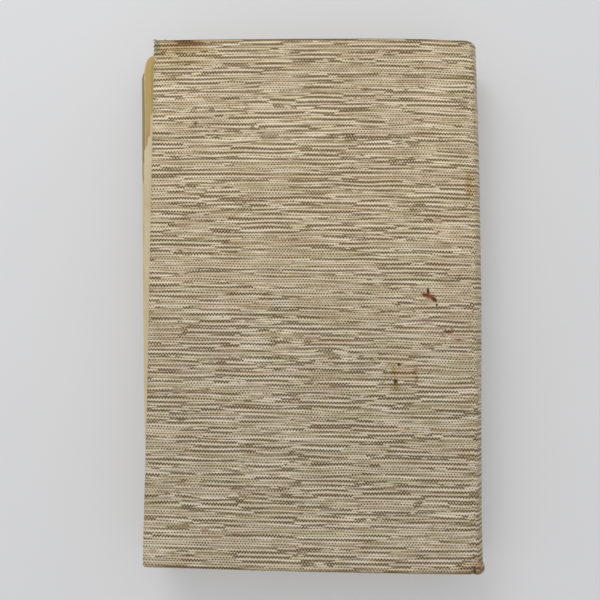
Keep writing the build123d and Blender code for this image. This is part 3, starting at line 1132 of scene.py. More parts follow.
@dataclass
class CaseCloth:
    """One half of the case's cloth: a cover and the spine as far as its middle, with everything turned in."""

    side: Side
    corner_radius: float = SIZES.cloth_corner
    corner_points: int = 5
    edge_radius: float = 1.0
    edge_points: int = 5
    face_step: float = 2.4
    joint_run: float = 3.0
    joint_points: int = 16
    shoulder_points: int = 9
    spine_points: int = 15
    rows: int = 2 * SIZES.wefts
    row_step: int = 18
    rib: float = 0.07
    crease: float = 0.22
    crease_width: float = 0.8
    joint_thickness: float = 1.15
    board_end: Range = (-0.9, 0.1)
    inlay_start: Range = (0.4, 3.0)
    bow_start: Range = (0.5, 7.0)
    cap_start: Range = (0.0, 5.0)
    split_height: float = 13.0
    bow_y: tuple[float, ...] = (
        -103.4, -101.6, -100.4, -98.2, -92.0, -81.0, -42.0, -3.0, 53.0, 78.0, 94.0, 102.3,
    )
    bow: tuple[float, ...] = (0.45, 0.22, -0.3, -0.4, -0.5, -0.6, -0.25, 0.25, 0.08, -0.4, -0.75, -0.95)
    under_points: Range = (3.0, 8.0)
    hem_run: float = 0.2
    hem_lift: float = 0.15
    notch_past: float = 0.5
    notch_width: float = 0.8
    notch_depth: float = 0.25
    notch_crease: float = 0.55
    notch_start: float = 1.5
    notch_fade: float = 1.6
    head_droop: float = 0.42
    droop_start: Range = (-18.0, -5.0)
    droop_end: Range = (2.0, 6.0)
    tip_droop: float = 0.45
    tip_past: float = 1.5
    tip_width: float = 1.0
    head_crush: float = 1.1
    head_crush_past: float = 3.8
    head_crush_width: float = 2.6
    crush_y: Range = (92.0, 102.0)
    board_warp: float = 0.10
    fore_flare: float = 0.3
    flare_width: float = 20.0
    flare_y: Range = (-40.0, -95.0)
    tail_lift: float = 0.6
    head_drop: float = 0.5
    end_pull: float = 22.0
    pull_start: Range = (0.5, 5.5)
    end_rows_share: float = 1 / 12
    wander_reach: float = 0.17
    squeeze_reach: float = 0.20
    squeeze_stretch: float = 0.14
    slub_stretch: Range = (0.4, 3.0)
    valley_depth: float = 0.6
    valley_change: float = 0.4
    front_gap: float = 6.0
    # Soil along the head and tail edges, partly painted shade of their rounded rims.
    end_wear_and_shade: float = 0.45
    end_wear_and_shade_width: float = 0.5
    fore_wear: float = 0.06
    fore_wear_width: float = 0.6
    shoulder_wear: float = 0.04
    shoulder_past: float = 1.5
    shoulder_width: float = 2.2
    fold_depth: float = 0.3
    fold_fade: float = 1.6
    fold_wear: float = 0.15
    end_fold_wear_and_shade: float = 0.60
    warp: Waver = field(default_factory=lambda: Waver(11, 90.0))
    wander: Waver = field(default_factory=lambda: Waver(12, 26.0))
    slub: Waver = field(default_factory=lambda: Waver(13, 9.0))
    squeeze: Waver = field(default_factory=lambda: Waver(14, 3.0, 12))

    @property
    def pitch(self) -> float:
        """Height of a row."""
        return (SIZES.cover_height - 2 * self.corner_radius) / self.rows

    def section(self) -> Section:
        """Places along the cloth's section.

        Returns:
            The section.
        """
        outward = -self.side.inward
        joint = SIZES.joint_x(self.side)
        start, near = joint - SIZES.cover_width + self.corner_radius, joint - self.joint_run
        centre_x, centre_z, radius = SIZES.spine_round()
        fillet = SIZES.shoulder_radius
        fillet_z = SIZES.outer_z(self.side) - outward * fillet
        fillet_x = centre_x + math.sqrt((radius - fillet) ** 2 - (fillet_z - centre_z) ** 2)
        flat = np.concatenate([
            np.linspace(start, near, round((near - start) / self.face_step), endpoint=False),
            np.linspace(near, fillet_x, self.joint_points, endpoint=False),
        ])
        corner_angle = math.atan2(fillet_z - centre_z, fillet_x - centre_x)
        middle_angle = math.asin((self.split_height - centre_z) / radius)
        turn = np.linspace(outward * math.pi / 2, corner_angle, self.shoulder_points, endpoint=False)
        sweep = np.linspace(corner_angle, middle_angle, self.spine_points)
        level = np.full(len(flat), SIZES.outer_z(self.side))
        x = np.concatenate([flat, fillet_x + fillet * np.cos(turn), centre_x + radius * np.cos(sweep)])
        z = np.concatenate([level, fillet_z + fillet * np.sin(turn), centre_z + radius * np.sin(sweep)])
        angle = np.concatenate([np.full(len(flat), outward * math.pi / 2), turn, sweep])
        length = start + np.concatenate([[0], np.cumsum(np.hypot(np.diff(x), np.diff(z)))])
        past = length - joint
        spine_layers = 2 * SIZES.cloth + SIZES.inlay
        thickness = SIZES.cover + (self.joint_thickness - SIZES.cover) * smooth_step(*self.board_end, past)
        thickness += (spine_layers - self.joint_thickness) * smooth_step(*self.inlay_start, past)
        bowed_share = smooth_step(*self.bow_start, past)
        return Section(x, z, np.cos(angle), np.sin(angle), length, past, thickness, bowed_share)

    def base(self, s: Section, i: np.ndarray, y: np.ndarray, depth: np.ndarray | float) -> np.ndarray:
        """Places under the cloth's outer surface.

        Args:
            s: The section.
            i: Section indices.
            y: Places along the book.
            depth: Depth below the outer surface.

        Returns:
            Places with X, Y, Z last.
        """
        i, y, depth = np.broadcast_arrays(i, y, depth)
        x, past, bowed_share = s.x[i], s.past[i], s.bowed_share[i]
        from_tail = np.clip(y + SIZES.cover_height / 2 + self.notch_start, 0, None)
        notch = hump(past, self.notch_past, self.notch_width) * np.exp(-from_tail / self.notch_fade)
        crease = -self.crease * hump(past, 0.0, self.crease_width) - self.notch_crease * notch
        crush = hump(past, self.head_crush_past, self.head_crush_width) * smooth_step(*self.crush_y, y)
        out = crease + bowed_share * np.interp(y, self.bow_y, self.bow) - self.head_crush * crush - depth
        if self.side is Side.BACK:
            outer_share = np.clip(1 - depth / SIZES.board, 0, 1)
            out = out + (1 - bowed_share) * self.board_warp * outer_share * (self.warp(x, y) - 1)
        flare = self.fore_flare * np.exp(-(x - s.x[0]) / self.flare_width) * smooth_step(*self.flare_y, y)
        z = np.maximum(s.z[i] + s.normal_z[i] * out, 0.0)
        return xyz(x + s.normal_x[i] * out - flare, y, z)

    def end_y(self, s: Section, end: End) -> np.ndarray:
        """The cloth's head or tail edge.

        Args:
            s: The section.
            end: Which edge.

        Returns:
            Y of the edge at each point of the section.
        """
        slant = SIZES.head_slant if end is End.HEAD else SIZES.tail_slant
        spine = end.value * (SIZES.cover_height / 2 + slant + SIZES.cap)
        past_share = smooth_step(*self.cap_start, s.past)
        edge = SIZES.end_y(self.side, end, s.x) * (1 - past_share) + spine * past_share
        if end is End.TAIL:
            return edge + self.notch_depth * hump(s.past, self.notch_past, self.notch_width)
        droop = self.head_droop * smooth_step(*self.droop_start, s.past)
        droop = droop * (1 - smooth_step(*self.droop_end, s.past))
        return edge - (droop + self.tip_droop * hump(s.past, self.tip_past, self.tip_width))

    def profile(self, thickness: np.ndarray) -> tuple[np.ndarray, np.ndarray]:
        """Section of the cloth around an edge: out over it, in along the inner face and back beneath.

        Args:
            thickness: Thickness of what the cloth wraps, cloth included.

        Returns:
            Inset from the edge and depth below the outer face, each with the profile's points first.
        """
        radius = np.minimum(self.edge_radius, thickness / 2)
        layer, zero = SIZES.cloth, np.zeros_like(thickness)
        angles = np.linspace(0, math.pi / 2, self.edge_points)
        turn = [(1 - math.sin(angle), 1 - math.cos(angle)) for angle in angles]
        near, far = self.under_points
        steps = [(self.corner_radius, zero)]
        steps += [(radius * across, radius * down) for across, down in turn]
        steps += [(radius * down, thickness - radius * across) for across, down in turn]
        hem = SIZES.turn_in - self.hem_run
        steps += [(along, thickness) for along in (self.corner_radius, near, far, hem)]
        steps += [(SIZES.turn_in, thickness - self.hem_lift)]
        steps += [(along, thickness - layer) for along in (SIZES.turn_in, far, self.corner_radius, layer)]
        steps += [(along, zero + layer) for along in (layer, self.corner_radius)]
        inset, depth = zip(*steps)
        return np.stack([zero + along for along in inset]), np.stack(depth)

    def face_wear_and_shade(self, s: Section, y: np.ndarray) -> np.ndarray:
        """Wear of the outer face: brown along the head, tail and fore edges, and along the joint, the line along
        the head and tail partly painted shade of their rounded rims.

        Args:
            s: The section.
            y: Places along the book, by section point and row.

        Returns:
            The wear, from 0 to 1, in the same layout.
        """
        near_end = np.minimum(self.end_y(s, End.HEAD)[:, None] - y, y - self.end_y(s, End.TAIL)[:, None])
        from_fore = (s.length - s.length[0] + self.corner_radius)[:, None]
        # Near the head and tail edges this is soil and partly painted shade of their rounded rims.
        edges = self.end_wear_and_shade * np.exp(-near_end / self.end_wear_and_shade_width)
        edges = edges + self.fore_wear * np.exp(-from_fore / self.fore_wear_width)
        shoulder = self.shoulder_wear * hump(s.past[:, None], self.shoulder_past, self.shoulder_width)
        return np.clip(edges + shoulder, 0, 1)

    def spread(self, s: Section) -> ClothGrid:
        """Lays the threads over the outer face, pulled and squeezed as they are in worn cloth.

        Args:
            s: The section.

        Returns:
            The outer face.
        """
        rows_share = np.linspace(0, 1, self.rows + 1)
        length = s.length[:, None]
        head = (self.end_y(s, End.HEAD) - self.corner_radius)[:, None]
        tail = (self.end_y(s, End.TAIL) + self.corner_radius)[:, None]
        y = tail + (head - tail) * rows_share
        inner = np.minimum(1, np.minimum(rows_share, 1 - rows_share) / self.end_rows_share)
        pulled = inner * smooth_step(*self.pull_start, s.past)[:, None]
        y = y + pulled * self.tail_lift * np.exp(-(y - tail) / self.end_pull)
        y = y - pulled * self.head_drop * np.exp(-(head - y) / self.end_pull)
        y = y + self.wander_reach * inner * self.wander(length, y)
        y = y + self.squeeze_reach * inner * self.squeeze(length * self.squeeze_stretch, y)
        row = np.arange(self.rows + 1)
        thread_v = (row - self.rows / 2) * self.pitch
        thread_u = length if self.side is Side.BACK else 2 * s.length[-1] + self.front_gap - length
        along, across = self.slub_stretch
        valley = self.valley_depth + self.valley_change * self.slub(thread_u * along, thread_v * across)
        return ClothGrid(s, y, xyz(thread_u, thread_v, 0.0), (row % 2) * valley, self.face_wear_and_shade(s, y))

    def add_wrap(self, maker: MeshMaker, grid: ClothGrid) -> np.ndarray:
        """Wraps the cloth over the head, fore and tail edges, mitred at the fore corners.

        Args:
            maker: Where the points go.
            grid: The outer face.

        Returns:
            Indices of the points, by point of the edge's profile and station round the face.
        """
        s, index = grid.section, np.arange(len(grid.section.x))
        arc = np.linspace(0, math.pi / 2, self.corner_points + 2)[1:-1]
        corner, fore = np.zeros(len(arc), int), np.zeros(self.rows + 1, int)
        station = np.concatenate([index[::-1], corner, fore, corner, index])
        to_corner = len(index) + len(arc)
        row = np.concatenate([
            np.full(to_corner, self.rows), np.arange(self.rows, -1, -1), np.zeros(to_corner, int),
        ])
        still, flat = np.zeros(len(index)), np.ones(len(fore))
        out_x = np.concatenate([still, -np.sin(arc), -flat, -np.cos(arc), still])
        out_y = np.concatenate([still + 1, np.cos(arc), 0 * flat, -np.sin(arc), still - 1])
        inset, depth = self.profile(s.thickness[station])
        from_end = np.minimum(row, self.rows - row) * self.pitch + self.corner_radius
        from_fore = s.length[station] - s.length[0] + self.corner_radius
        mitre = np.where(out_y == 0, from_end, np.where(out_x == 0, from_fore, self.corner_radius))
        inset = np.minimum(inset, mitre)
        reach = self.corner_radius - inset
        y, valley, wear = (values[station, row] for values in (grid.y, grid.valley, grid.wear))
        rib = np.where(depth == 0, self.rib * valley, 0)
        ring = self.base(s, station, np.broadcast_to(y, depth.shape), depth + rib)
        ring[..., 0] += reach * np.where(reach > 0, out_x, np.sign(out_x))
        ring[..., 1] += reach * np.where(reach > 0, out_y, np.sign(out_y))
        step = np.hypot(np.diff(inset, axis=0), np.diff(depth, axis=0))
        run = np.concatenate([np.zeros((1, len(station))), np.cumsum(step, axis=0)])
        mirror = 1 if self.side is Side.BACK else -1
        place = grid.place[station, row] + xyz(mirror * run * out_x, run * out_y, 0.0)
        edge_share = np.clip(1 - np.abs(depth - self.fold_depth) / self.fold_fade, 0.25, 1)
        edge_share = edge_share * (inset < self.corner_radius)
        # Along the head and tail rims this is wear and partly painted shade of the rounded edge.
        edge_wear = edge_share * (self.fold_wear + self.end_fold_wear_and_shade * np.abs(out_y))
        edge_wear = np.maximum(edge_wear, np.where(depth == 0, wear, 0))
        return maker.add_points(ring, thread_place=place, edge_wear=edge_wear)

    def build(self, material: bpy.types.Material) -> bpy.types.Object:
        """Makes the cloth.

        Args:
            material: The cloth's material.

        Returns:
            The piece, which bends across the joint.
        """
        s = self.section()
        grid = self.spread(s)
        index = np.arange(len(s.x))
        maker = MeshMaker()
        outer = self.base(s, index[:, None], grid.y, self.rib * grid.valley)
        face = maker.add_points(outer, thread_place=grid.place, edge_wear=grid.wear)
        maker.add_quads(face)
        rings = self.add_wrap(maker, grid)
        maker.add_quads(rings)

        coarse = np.arange(0, self.rows + 1, self.row_step)
        inner = self.base(s, index[:, None], grid.y[:, coarse], SIZES.cloth)
        under = maker.add_points(inner, thread_place=grid.place[:, coarse], edge_wear=0 * inner[..., 0])
        maker.add_quads(under[1:])
        first_fore = len(index) + self.corner_points
        fore_ring = rings[-1, first_fore:first_fore + self.rows + 1][::-1]
        for q, (a, b) in enumerate(zip(coarse[:-1], coarse[1:])):
            maker.add_face([*fore_ring[a:b + 1], under[1, q + 1], under[1, q]])
            maker.add_face([*face[-1, a:b + 1], under[-1, q + 1], under[-1, q]])
        maker.add_face(rings[:, 0])
        maker.add_face(rings[:, -1])

        piece = maker.build(f"{self.side.value}_case_cloth", material)
        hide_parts(*(["back_cloth", "spine_cloth"] if self.side is Side.BACK else ["front_cloth"]))
        joint = SIZES.joint_x(self.side) * METRES_PER_MM
        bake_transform(piece, self.side.body, LEAVES_BODY, start=(joint - 0.0007, 0, 0), end=(joint + 0.0008, 0, 0))
        return piece


@dataclass
class SpineInlay:
    """The stiff strip inside the spine's cloth, bowed as the cloth is."""

    back: CaseCloth
    front: CaseCloth
    rows: int = 40
    past_joint: float = 3.4
    end_gap: float = 0.1
    clearance: float = 0.01

    def build(self, material: bpy.types.Material) -> bpy.types.Object:
        """Makes the strip.

        Args:
            material: Its material.

        Returns:
            The piece.
        """
        faces = []
        for depth in (SIZES.cloth, SIZES.cloth + SIZES.inlay):
            halves = []
            for cloth in (self.back, self.front):
                s = cloth.section()
                kept = np.flatnonzero(s.past > self.past_joint)
                kept = kept if cloth is self.back else kept[-2::-1]
                head = cloth.end_y(s, End.HEAD)[kept, None] - SIZES.cloth - self.end_gap
                tail = cloth.end_y(s, End.TAIL)[kept, None] + SIZES.cloth + self.end_gap
                y = tail + (head - tail) * np.linspace(0, 1, self.rows + 1)
                halves.append(cloth.base(s, kept[:, None], y, depth + self.clearance))
            faces.append(np.concatenate(halves))
        piece = sheet_of(*faces).build("spine_strip", material, 30.0)
        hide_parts("spine_inlay")
        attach(piece, LEAVES_BODY)
        return piece


@dataclass
class Leaves:
    """The text block: each leaf's edge modelled, skewed in the case, with its head corner lost."""

    leaves: int = 100
    gathering: int = 8
    fore_points: int = 116
    end_points: int = 58
    back_points: int = 10
    groove: float = 0.10
    tail_round: float = 1.2
    head_round_low: float = 3.0
    head_round_top: float = 4.2
    head_length_low: float = 5.0
    head_length_top: float = 8.0
    sliver_start: float = 48.0
    sliver_run: float = 10.0
    sliver_inset: float = 3.3
    sliver_depth: float = 2.5
    sliver_foot: float = 61.0
    foot_width: float = 5.0
    rough_reach: float = 0.12
    fine_reach: float = 0.08
    low_bow: float = 0.75
    flare: float = 1.2
    flare_start: float = 76.0
    ripple_reach: float = 0.10
    gathering_slide: float = 0.05
    leaf_slide: float = 0.02
    # Where the painted shade on the lowest leaves lies and how strong it is, then grime over all leaves.
    grime_y: Range = (15.0, 62.0)
    grime_height: Range = (0.8, 2.6)
    fore_limit: float = -40.0
    grime_least: float = 0.2
    grime_more: float = 0.55
    grime_everywhere: float = 0.06
    grime_by_tone: float = 0.10
    ripple: Waver = field(default_factory=lambda: Waver(21, 70.0))
    ragged: Waver = field(default_factory=lambda: Waver(22, 5.0))

    def skew(self, y: np.ndarray) -> np.ndarray:
        """X shift of the leaves at y, none at the tail."""
        return -(y - SIZES.leaf_tail) * math.tan(math.radians(SIZES.leaf_skew_deg))

    def top_back_x(self) -> float:
        """X of the top leaf's back at the tail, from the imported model."""
        _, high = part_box("back_flyleaf")
        return high.x / METRES_PER_MM

    def back_x(self, z: np.ndarray | float, y: np.ndarray) -> np.ndarray:
        """X of the leaves' backs."""
        centre_x, centre_z, radius = SIZES.leaf_round()
        return self.top_back_x() + centre_x + np.sqrt(radius**2 - (z - centre_z) ** 2) + self.skew(y)

    def up_share(self, z: np.ndarray | float) -> np.ndarray | float:
        """How far up the block a height lies: 0 at its bottom, 1 at its top."""
        return (z - SIZES.block_bottom) / (SIZES.block_top - SIZES.block_bottom)

    def plain_fore_x(self, z: np.ndarray | float, y: np.ndarray) -> np.ndarray:
        """X of the leaves' fore edges, as if nothing were lost.

        Args:
            z: Height.
            y: Place along the book.

        Returns:
            X at each place.
        """
        below_share = np.clip(1 - self.up_share(z), 0, 1)
        along_share = np.clip((y - SIZES.leaf_tail) / (SIZES.leaf_head - SIZES.leaf_tail), 0, 1)
        low_bow = self.low_bow * np.sin(math.pi * along_share**0.7) * below_share**2
        flare = self.flare * np.sin(math.pi * below_share) * smooth_step(self.flare_start, SIZES.leaf_head, y)
        return self.back_x(z, y) - SIZES.leaf_width - low_bow - flare

    def fore_x(self, z: float, y: np.ndarray) -> tuple[np.ndarray, np.ndarray]:
        """X of the leaves' fore edges, with the sliver lost at the head.

        Args:
            z: Height.
            y: Place along the book.

        Returns:
            X, and how deep in the lost sliver it lies, from just over 0 to 1, or 0 outside it.
        """
        just_inside, not_begun = 0.05, 3.0
        plain = self.plain_fore_x(z, y)
        begun = smooth_step(self.sliver_start, self.sliver_start + self.sliver_run, y)
        below = (SIZES.block_top - z) / self.sliver_depth
        rough = self.rough_reach * self.ragged(y, 0 * y) + self.fine_reach * self.ragged(y, z * 9 + 40)
        cut = self.plain_fore_x(SIZES.block_top, y) + (self.sliver_inset + rough) * (1 - below) * begun
        cut = cut - not_begun * (1 - begun)
        lost = cut > plain
        return np.where(lost, cut, plain), np.where(lost, below + just_inside, 0.0)

    def rounding(self, z: float, y: np.ndarray) -> np.ndarray:
        """How far the rounded corners draw the fore edge in.

        Args:
            z: Height.
            y: Place along the book.

        Returns:
            Distance in X, 0 away from the corners.
        """
        up_share = self.up_share(z)
        head_reach = self.head_round_low + (self.head_round_top - self.head_round_low) * up_share
        head_length = self.head_length_low + (self.head_length_top - self.head_length_low) * up_share
        reach = np.where(y > 0, head_reach, self.tail_round)
        length = np.where(y > 0, head_length, self.tail_round)
        dip = np.clip(1 - np.minimum(y - y.min(), y.max() - y) / length, 0, 1)
        return reach * (1 - np.sqrt(1 - dip**2))

    def ring(self, z: float, tuck: float, slide: float) -> tuple[np.ndarray, np.ndarray, np.ndarray]:
        """Outline of the block at a height, closed over its first point.

        Args:
            z: Height.
            tuck: How far the outline is drawn in.
            slide: How far this leaf stands out along the book.

        Returns:
            Places, depth of the lost corner there, and distance round the outline.
        """
        tail, head = SIZES.leaf_tail + tuck + slide, SIZES.leaf_head - tuck + slide
        even_share = np.linspace(0, 1, self.fore_points)
        eased_share = (1 - np.cos(math.pi * even_share)) / 2
        fore_y = tail + (head - tail) * (even_share + eased_share) / 2
        fore, torn = self.fore_x(z, fore_y)
        fore = fore + self.rounding(z, fore_y) + tuck
        across_share = np.linspace(0, 1, self.end_points + 2)[1:-1]
        back_y = np.linspace(head, tail, self.back_points)
        back = self.back_x(z, back_y) - tuck
        head_x = fore[-1] + (back[0] - fore[-1]) * across_share
        tail_x = back[-1] + (fore[0] - back[-1]) * across_share
        x = np.concatenate([fore, head_x, back, tail_x])
        y = np.concatenate([fore_y, np.full(self.end_points, head), back_y, np.full(self.end_points, tail)])
        depth = np.concatenate([torn, np.zeros(len(x) - len(torn))])
        level = z + self.ripple_reach * self.ripple(x, y) * math.sin(math.pi * self.up_share(z))
        run = np.concatenate([[0], np.cumsum(np.hypot(np.diff(x), np.diff(y)))])
        closed = np.r_[0:len(x), 0]
        return xyz(x, y, level)[closed], depth[closed], np.append(run, run[-1] + 1)

    def build(self, material: bpy.types.Material) -> bpy.types.Object:
        """Makes the block.

        Args:
            material: The leaf edges' material.

        Returns:
            The piece.
        """
        draw = np.random.default_rng(23)
        thickness = (SIZES.block_top - SIZES.block_bottom) / self.leaves
        gathered = draw.normal(0, self.gathering_slide, self.leaves // self.gathering + 1)
        rings, tones, order = [], [], []
        for leaf in range(self.leaves):
            slide = gathered[leaf // self.gathering] + draw.normal(0, self.leaf_slide)
            tone = draw.uniform(0, 1)
            for share, tuck in ((0.02, self.groove), (0.25, 0.0), (0.8, 0.0)):
                z = SIZES.block_bottom + (leaf + share) * thickness
                rings.append(self.ring(z, tuck, slide if tuck == 0 else slide * 0.5))
                tones.append(tone)
                order.append(leaf)
        rings.append(self.ring(SIZES.block_top, 0.0, 0.0))
        points, torn, run = (np.stack(grids) for grids in zip(*rings))
        tone = np.array([*tones, 0.5])[:, None]
        leaf = np.array([*order, self.leaves])[:, None]
        # Painted shade on the lowest leaves near the fore edge, stronger towards the head (dirty sets its
        # strength); the last two terms add grime over all leaves.
        low = 1 - smooth_step(*self.grime_height, points[..., 2] - SIZES.block_bottom)
        dirty = self.grime_least + self.grime_more * smooth_step(*self.grime_y, points[..., 1])
        grime = low * dirty * (points[..., 0] < self.fore_limit) + self.grime_everywhere
        grime = np.clip(grime + self.grime_by_tone * tone, 0, 1)
        foot = hump(points[..., 1], self.sliver_foot, self.foot_width) * (torn > 0)
        maker = MeshMaker()
        maker.add_tube(
            points, edge_place=xyz(run, leaf, 0.0), torn_depth=torn, leaf_tone=tone, grime=grime,
            torn_foot=foot,
        )
        piece = maker.build("leaves", material, 35.0)
        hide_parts("text_block")
        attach(piece, LEAVES_BODY)
        return piece


@dataclass
class Flyleaf:
    """A free endpaper on the block, a little wavy, the back one with its head corner torn away."""

    side: Side
    leaves: Leaves
    columns: int = 56
    rows: int = 90
    wave: float = 0.05
    wear: float = 0.2
    wear_width: float = 2.5
    back_layer: float = 9.0
    front_layer: float = 60.0
    tear_y: tuple[float, ...] = (15.0, 50.0, 57.9, 59.1, 60.3, 63.4, 63.9, 71.8, 73.6, 80.0, 97.5)
    tear_inset: tuple[float, ...] = (0.0, 0.35, 0.4, 1.0, 1.6, 1.95, 2.75, 3.15, 4.0, 4.6, 6.8)
    waver: Waver = field(default_factory=lambda: Waver(31, 60.0))

    def build(self, material: bpy.types.Material) -> bpy.types.Object:
        """Makes the sheet. The face that rests on the block follows the waves least.

        Args:
            material: The paper's material.

        Returns:
            The piece.
        """
        back = self.side is Side.BACK
        level = SIZES.leaf_z(self.side)
        low = level if back else level - SIZES.paper
        y = np.linspace(SIZES.leaf_tail, SIZES.leaf_head, self.rows + 1)
        if back:
            y = np.union1d(y, np.array(self.tear_y[:-1]))
        fore = self.leaves.plain_fore_x(level, y) + self.leaves.rounding(level, y)
        if back:
            fore = fore + np.interp(y, self.tear_y, self.tear_inset)
        across_share = np.linspace(0, 1, self.columns + 1)[:, None] ** 1.3
        x = fore + (self.leaves.back_x(level, y) - fore) * across_share
        lift = self.wave * (1 + self.waver(x, y))
        top_lift, bottom_lift = (lift, 0.4 * lift) if back else (0 * lift, -0.4 * lift)
        near = np.minimum(np.minimum(y - y[0], y[-1] - y), x - fore)
        maker = sheet_of(
            xyz(x, y, low + SIZES.paper + top_lift), xyz(x, y, low + bottom_lift),
            sheet_place=xyz(x, y, self.back_layer if back else self.front_layer),
            edge_wear=self.wear * np.exp(-near / self.wear_width),
        )
        piece = maker.build(f"{self.side.value}_free_endpaper", material)
        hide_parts(f"{self.side.value}_flyleaf")
        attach(piece, LEAVES_BODY)
        return piece


@dataclass
class Pastedown:
    """The endpaper's glued half, showing the turned-in cloth and the mull's flap beneath it."""

    side: Side
    columns: int = 84
    rows: int = 120
    inset: float = 3.2
    joint_gap: float = 0.15
    step_width: float = 0.7
    paper: float = 0.7 * SIZES.paper
    cockle: float = 0.015
    ridge: float = 0.10
    ridge_width: float = 0.8
    flap_width: float = 20.0
    flap_length: float = 164.5
    flap_thickness: float = 0.25
    flap_cover: float = 0.05
    flap_edge: Range = (0.6, -0.2)
    edge_wear: float = 0.7
    edge_width: float = 4.0
    glue_wear: float = 0.35
    back_layer: float = 190.0
    front_layer: float = 130.0
    waver: Waver = field(default_factory=lambda: Waver(41, 40.0))

    def build(self, material: bpy.types.Material) -> bpy.types.Object:
        """Makes the sheet.

        Args:
            material: The paper's material.

        Returns:
            The piece.
        """
        joint = SIZES.joint_x(self.side)
        fore = joint - SIZES.cover_width
        x = np.linspace(fore + self.inset, joint - self.joint_gap, self.columns + 1)[:, None]
        head = SIZES.end_y(self.side, End.HEAD, x) - self.inset
        tail = SIZES.end_y(self.side, End.TAIL, x) + self.inset
        y = tail + (head - tail) * np.linspace(0, 1, self.rows + 1)
        turned = SIZES.turn_in + 0.1
        half_height = SIZES.cover_height / 2
        within = np.minimum(x - fore - turned, half_height - turned - np.abs(y))
        sunk_share = smooth_step(-self.step_width / 2, self.step_width, within)
        mitre = x - fore - (half_height - np.abs(y))
        ridge = self.ridge * hump(mitre, 0.0, self.ridge_width) * (within < 0) * (x < fore + turned)
        outside, inside = self.flap_edge
        over_share = smooth_step(joint - self.flap_width - outside, joint - self.flap_width - inside, x)
        half_flap = self.flap_length / 2
        over_share = over_share * smooth_step(half_flap + outside, half_flap + inside, np.abs(y))
        depth = SIZES.cover - SIZES.cloth * sunk_share + self.cockle * (1 + self.waver(x, y)) + ridge
        over_flap = (self.flap_thickness + self.flap_cover) * over_share
        depth = np.maximum(depth, SIZES.cover - SIZES.cloth + over_flap)
        inward, outer = self.side.inward, SIZES.outer_z(self.side)
        near = np.minimum(np.minimum(head - y, y - tail), x - x.min())
        wear = self.edge_wear * np.exp(-near / self.edge_width) + self.glue_wear * hump(within, 0.0, 1.0)
        maker = sheet_of(
            xyz(x, y, outer + inward * (depth + self.paper)), xyz(x, y, outer + inward * depth),
            sheet_place=xyz(x, y, self.back_layer if self.side is Side.BACK else self.front_layer),
            edge_wear=np.clip(wear, 0, 1),
        )
        piece = maker.build(f"{self.side.value}_glued_endpaper", material)
        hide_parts(f"{self.side.value}_pastedown")
        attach(piece, self.side.body)
        return piece


@dataclass
class EndpaperFold:
    """The endpaper's fold at the joint, between its glued and its free half."""

    side: Side
    leaves: Leaves
    rows: int = 60
    steps: int = 26
    paper: float = 0.08
    above: float = 0.10
    end_gap: float = 0.3
    reach: float = 1.2
    fold_inside: float = 0.2
    fold_clear: float = 0.05
    wear: float = 0.25
    layer: float = 9.0

    def build(self, material: bpy.types.Material) -> bpy.types.Object:
        """Makes the fold.

        Args:
            material: The paper's material.

        Returns:
            The piece, which opens with the cover.
        """
        inward, outer = self.side.inward, SIZES.outer_z(self.side)
        joint = SIZES.joint_x(self.side)
        glued = outer + inward * (SIZES.cover + self.above)
        free = outer + inward * (SIZES.cover + SIZES.paper + SIZES.leaf_gap + self.above)
        y = np.linspace(SIZES.leaf_tail + self.end_gap, SIZES.leaf_head - self.end_gap, self.rows + 1)
        gutter = self.leaves.back_x(SIZES.leaf_z(self.side), y)
        fold = np.maximum(gutter, joint - self.fold_inside) + self.fold_clear
        t = np.linspace(0, 1, self.steps + 1)[:, None]
        start, stop = joint - self.reach, np.minimum(gutter, fold) - self.reach
        x = start + (fold - start) * smooth_step(0.0, 0.5, t) + (stop - fold) * smooth_step(0.5, 1.0, t)
        middle = xyz(x, y, glued + (free - glued) * smooth_step(0.3, 0.7, t))
        slope = np.gradient(middle, axis=0)
        normal = xyz(-slope[..., 2], 0.0, slope[..., 0])
        half = normal / np.linalg.norm(normal, axis=-1, keepdims=True) * self.paper / 2
        wear = np.full_like(x, self.wear)
        maker = sheet_of(middle + half, middle - half, sheet_place=xyz(x, y, self.layer), edge_wear=wear)
        piece = maker.build(f"{self.side.value}_endpaper_fold", material)
        ends = [(0.0, 0.0, level_mm * METRES_PER_MM) for level_mm in (glued, free)]
        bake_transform(piece, self.side.body, LEAVES_BODY, start=ends[0], end=ends[1])
        return piece


